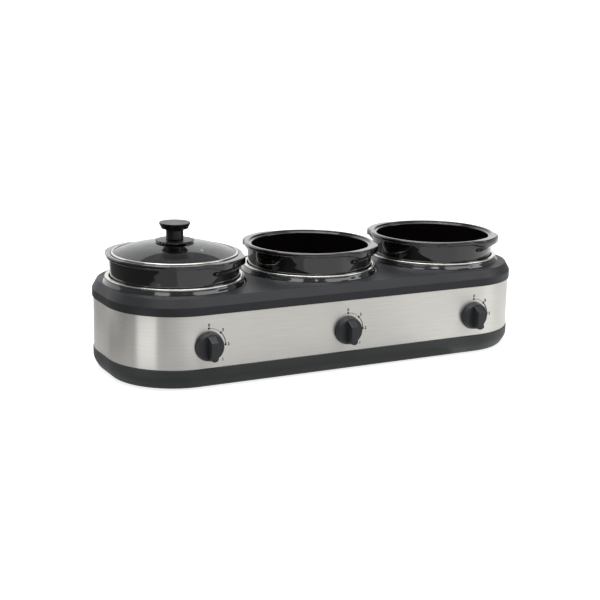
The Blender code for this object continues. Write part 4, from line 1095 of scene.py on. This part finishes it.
class FinishInside(bpy.types.Operator):
    """Give the working parts inside the housing their finishes"""

    bl_idname = "buffet.inside"
    bl_label = "Working Parts"

    def execute(self, context):
        zinc = mottled_metal("steel_zinc_plated", "a9abaf", 0.34, 0.0020)
        nylon = moulded("nylon_moulded_white", linear("cfcfc7"), 0.46, 0.0020, 0.0001)
        sleeve = moulded("silicone_extruded_red", linear("9c1f18"), 0.50, 0.0010, 0.00005)
        finish_of = {
            "heat_shield": mottled_metal("aluminium_rolled_sheet", "c8cacc", 0.36, 0.0040),
            "heater": mottled_metal("steel_heater_sheath", "8d8474", 0.42, 0.0060),
            "thermal_fuse": mottled_metal("steel_fuse_case", "b9bab9", 0.25, 0.0020),
            "insulation_pad": fibre_felt(),
            "shaft": mottled_metal("steel_turned_shaft", "b4b4b2", 0.22, 0.0020),
            "case_screw": zinc, "switch_nut": zinc, "terminal_block": nylon, "switch": nylon,
            "switch_lead": sleeve, "heater_lead": sleeve,
        }
        for name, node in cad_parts.items():
            kind = max((k for k in finish_of if name.startswith(k)), key=len, default=None)
            if kind and not node.hide_render:
                for slot in node.material_slots:
                    slot.material = finish_of[kind]
        return {"FINISHED"}


def softbox(name, spot, width, tall, power):
    """Large area light aimed at the middle of the object."""
    light = bpy.data.lights.new(name, "AREA")
    light.shape = "RECTANGLE"
    light.size = width
    light.size_y = tall
    light.energy = power
    made = bpy.data.objects.new(name, light)
    made.location = spot
    made.rotation_euler = (Vector((0.0, HOUSING_Y, 0.1)) - Vector(spot)).to_track_quat("-Z", "Y").to_euler()
    bpy.context.scene.collection.objects.link(made)


def glowing(name, level, seen=None, cast=None):
    """Stage finish that shines evenly at one level.

    A floor also has the level that it is seen at, on top of the light that it catches, and the level that it
    casts.
    """
    made = bpy.data.materials.new(name)
    made.use_nodes = True
    tree = made.node_tree
    tree.nodes.clear()
    glow = add(tree, "Emission", {"Strength": level})
    if seen is not None:
        shown = add(tree, "Emission", {"Strength": seen})
        matt = add(tree, "BsdfDiffuse", {"Color": shade(linear("f4f4f2"))})
        lit = add(tree, "AddShader", {0: shown, 1: matt})
        bounce = add(tree, "Emission", {"Strength": cast})
        path = add(tree, "LightPath")
        glow = add(tree, "MixShader", {0: path.outputs["Is Glossy Ray"], 1: bounce, 2: glow})
        glow = add(tree, "MixShader", {0: path.outputs["Is Camera Ray"], 1: glow, 2: lit})
    add(tree, "OutputMaterial", {"Surface": glow})
    return made


def card(name, corners, level):
    """Flat stage card that only reflections see."""
    mesh = bpy.data.meshes.new(name)
    mesh.from_pydata(corners, [], [tuple(range(len(corners)))])
    mesh.materials.append(glowing(name, level))
    made = bpy.data.objects.new(name, mesh)
    for seen_by in ("camera", "shadow", "diffuse", "transmission"):
        setattr(made, "visible_" + seen_by, False)
    bpy.context.scene.collection.objects.link(made)


def standing(middle, azimuth, reach, width, foot, top):
    """Corners of an upright card: reach from a middle at an azimuth in degrees, facing back at it."""
    turn = math.radians(azimuth)
    out = np.array((math.cos(turn), math.sin(turn), 0.0))
    side = np.array((-math.sin(turn), math.cos(turn), 0.0)) * width / 2
    centre = np.array((*middle, 0.0)) + out * reach
    corners = ((side, foot), (-side, foot), (-side, top), (side, top))
    return [(centre + part + np.array((0.0, 0.0, height))).tolist() for part, height in corners]


# Stage cards. An upright one has middle, azimuth, reach, width, foot, top and level. A flat one has height,
# level and corners.
MIDDLE_OF_OBJECT = (0.0, 0.0)
LEFT_END = (-0.29, -0.07)
UPRIGHT_CARDS = {
    "wall_behind": (MIDDLE_OF_OBJECT, 90, 1.50, 5.0, 0.0, 1.5, 1.0),
    "panel_high_right": (MIDDLE_OF_OBJECT, -60, 1.38, 1.30, 1.0, 1.9, 2.3),
    "panel_high_left": (MIDDLE_OF_OBJECT, -142, 1.38, 0.60, 1.0, 1.9, 2.6),
    "strip_left": (LEFT_END, -153, 0.13, 0.100, 0.0, 0.09, 1.15),
    "flag_front_left": (LEFT_END, -114, 0.14, 0.030, 0.0, 0.09, 0.40),
    "flag_rear_left": (LEFT_END, 136, 0.16, 0.13, 0.0, 0.09, 0.30),
}
FLAT_CARDS = {
    "pool_front": (0.002, 0.82, ((-0.62, -0.95), (0.95, -0.95), (0.70, -0.20), (-0.22, -0.20))),
    "pool_right": (0.003, 0.92, (
        (0.13, -0.215), (0.566, -0.923), (1.20, -0.923), (1.00, 0.45), (0.40, 0.30),
    )),
    "shade_left": (0.004, 0.12, (
        (-2.60, -2.10), (-0.72, -0.70), (-0.64, 0.02), (-0.42, 0.30), (-0.30, 0.90), (-2.60, 1.20),
    )),
}
CAMERA_TARGET = Vector((-0.01446, HOUSING_Y, 0.07990))
CAMERA_DISTANCE = 2.01417
CAMERA_AZIMUTH, CAMERA_ELEVATION, CAMERA_ROLL = -27.695, 13.572, 1.066
FLOOR_HALF = 60.0


def build_floor():
    """Pale floor under the object."""
    quarters = ((-1, -1), (1, -1), (1, 1), (-1, 1))
    mesh = bpy.data.meshes.new("floor")
    mesh.from_pydata([(sx * FLOOR_HALF, sy * FLOOR_HALF, 0) for sx, sy in quarters], [], [(0, 1, 2, 3)])
    mesh.materials.append(glowing("floor_matt_white", 0.50, 0.80, 0.30))
    floor = bpy.data.objects.new("floor", mesh)
    bpy.context.scene.collection.objects.link(floor)


def build_studio():
    """World that is white to the camera and dim to the object."""
    world = bpy.data.worlds.new("studio")
    bpy.context.scene.world = world
    world.use_nodes = True
    tree = world.node_tree
    tree.nodes.clear()
    path = add(tree, "LightPath")
    dim = add(tree, "Background", {"Color": shade(linear("f2f4f7")), "Strength": 0.30})
    white = add(tree, "Background", {"Color": (1.0, 1.0, 1.0, 1.0), "Strength": 1.0})
    sky = add(tree, "MixShader", {0: path.outputs["Is Camera Ray"], 1: dim, 2: white})
    add(tree, "OutputWorld", {"Surface": sky})


def build_camera():
    """Camera that looks at its target from an azimuth and an elevation, turned by a roll."""
    camera = bpy.data.cameras.new("camera")
    camera.lens = 81.11
    camera.sensor_width = 36.0
    camera.clip_end = 200.0
    azimuth, elevation, roll = np.radians((CAMERA_AZIMUTH, CAMERA_ELEVATION, CAMERA_ROLL)).tolist()
    flat = Vector((math.sin(azimuth), -math.cos(azimuth), 0.0)) * math.cos(elevation)
    back = flat + Vector((0.0, 0.0, math.sin(elevation)))
    level = Vector((math.cos(azimuth), math.sin(azimuth), 0.0))
    right = math.cos(roll) * level + math.sin(roll) * back.cross(level)
    turn = Matrix((right, back.cross(right), back)).transposed().to_4x4()
    holder = bpy.data.objects.new("camera", camera)
    holder.matrix_world = Matrix.Translation(CAMERA_TARGET + back * CAMERA_DISTANCE) @ turn
    bpy.context.scene.collection.objects.link(holder)
    bpy.context.scene.camera = holder


class BuildStage(bpy.types.Operator):
    """Build the pale floor, the studio lights and the camera"""

    bl_idname = "buffet.stage"
    bl_label = "Stage"

    def execute(self, context):
        context.scene.view_settings.view_transform = "Standard"
        build_floor()
        build_studio()
        softbox("key_overhead", (-0.30, -0.20, 1.90), 2.0, 1.4, 34.0)
        softbox("fill_right", (1.90, -1.20, 0.95), 1.0, 1.1, 8.0)
        for name, (*spot, level) in UPRIGHT_CARDS.items():
            card(name, standing(*spot), level)
        for name, (height, level, corners) in FLAT_CARDS.items():
            card(name, [(*corner, height) for corner in corners], level)
        build_camera()
        return {"FINISHED"}


OPERATORS = (
    BuildStage, BuildTray, BuildBand, BuildCover, BuildWells, BuildCrocks, BuildLid, BuildDials, FinishInside,
)


class BuffetPanel(bpy.types.Panel):
    """Buttons and values of the buffet server"""

    bl_idname = "VIEW3D_PT_buffet"
    bl_label = "Buffet Server"
    bl_space_type = "VIEW_3D"
    bl_region_type = "UI"
    bl_category = "Buffet"

    def draw(self, context):
        for group in GROUPS:
            box = self.layout.box()
            values = getattr(context.scene, group)
            for name in values.bl_rna.properties.keys():
                if name not in ("rna_type", "name"):
                    box.prop(values, name)
        for operator in OPERATORS:
            self.layout.operator(operator.bl_idname)


GROUPS = {
    "buffet_housing": HousingSizes,
    "buffet_pots": PotSizes,
    "buffet_dials": DialSizes,
    "buffet_finishes": Finishes,
}


def register():
    """Registers the values, the operators and the panel."""
    for name, group in GROUPS.items():
        bpy.utils.register_class(group)
        setattr(bpy.types.Scene, name, bpy.props.PointerProperty(type=group))
    for made in (*OPERATORS, BuffetPanel):
        bpy.utils.register_class(made)


def unregister():
    """Removes what register added."""
    for made in (BuffetPanel, *reversed(OPERATORS)):
        bpy.utils.unregister_class(made)
    for name, group in GROUPS.items():
        delattr(bpy.types.Scene, name)
        bpy.utils.unregister_class(group)


def main():
    """Builds everything."""
    register()
    bpy.ops.buffet.stage()
    bpy.ops.buffet.tray()
    bpy.ops.buffet.band()
    bpy.ops.buffet.cover()
    bpy.ops.buffet.wells()
    bpy.ops.buffet.crocks()
    bpy.ops.buffet.lid()
    bpy.ops.buffet.dials()
    bpy.ops.buffet.inside()


if __name__ == "__main__":
    main()
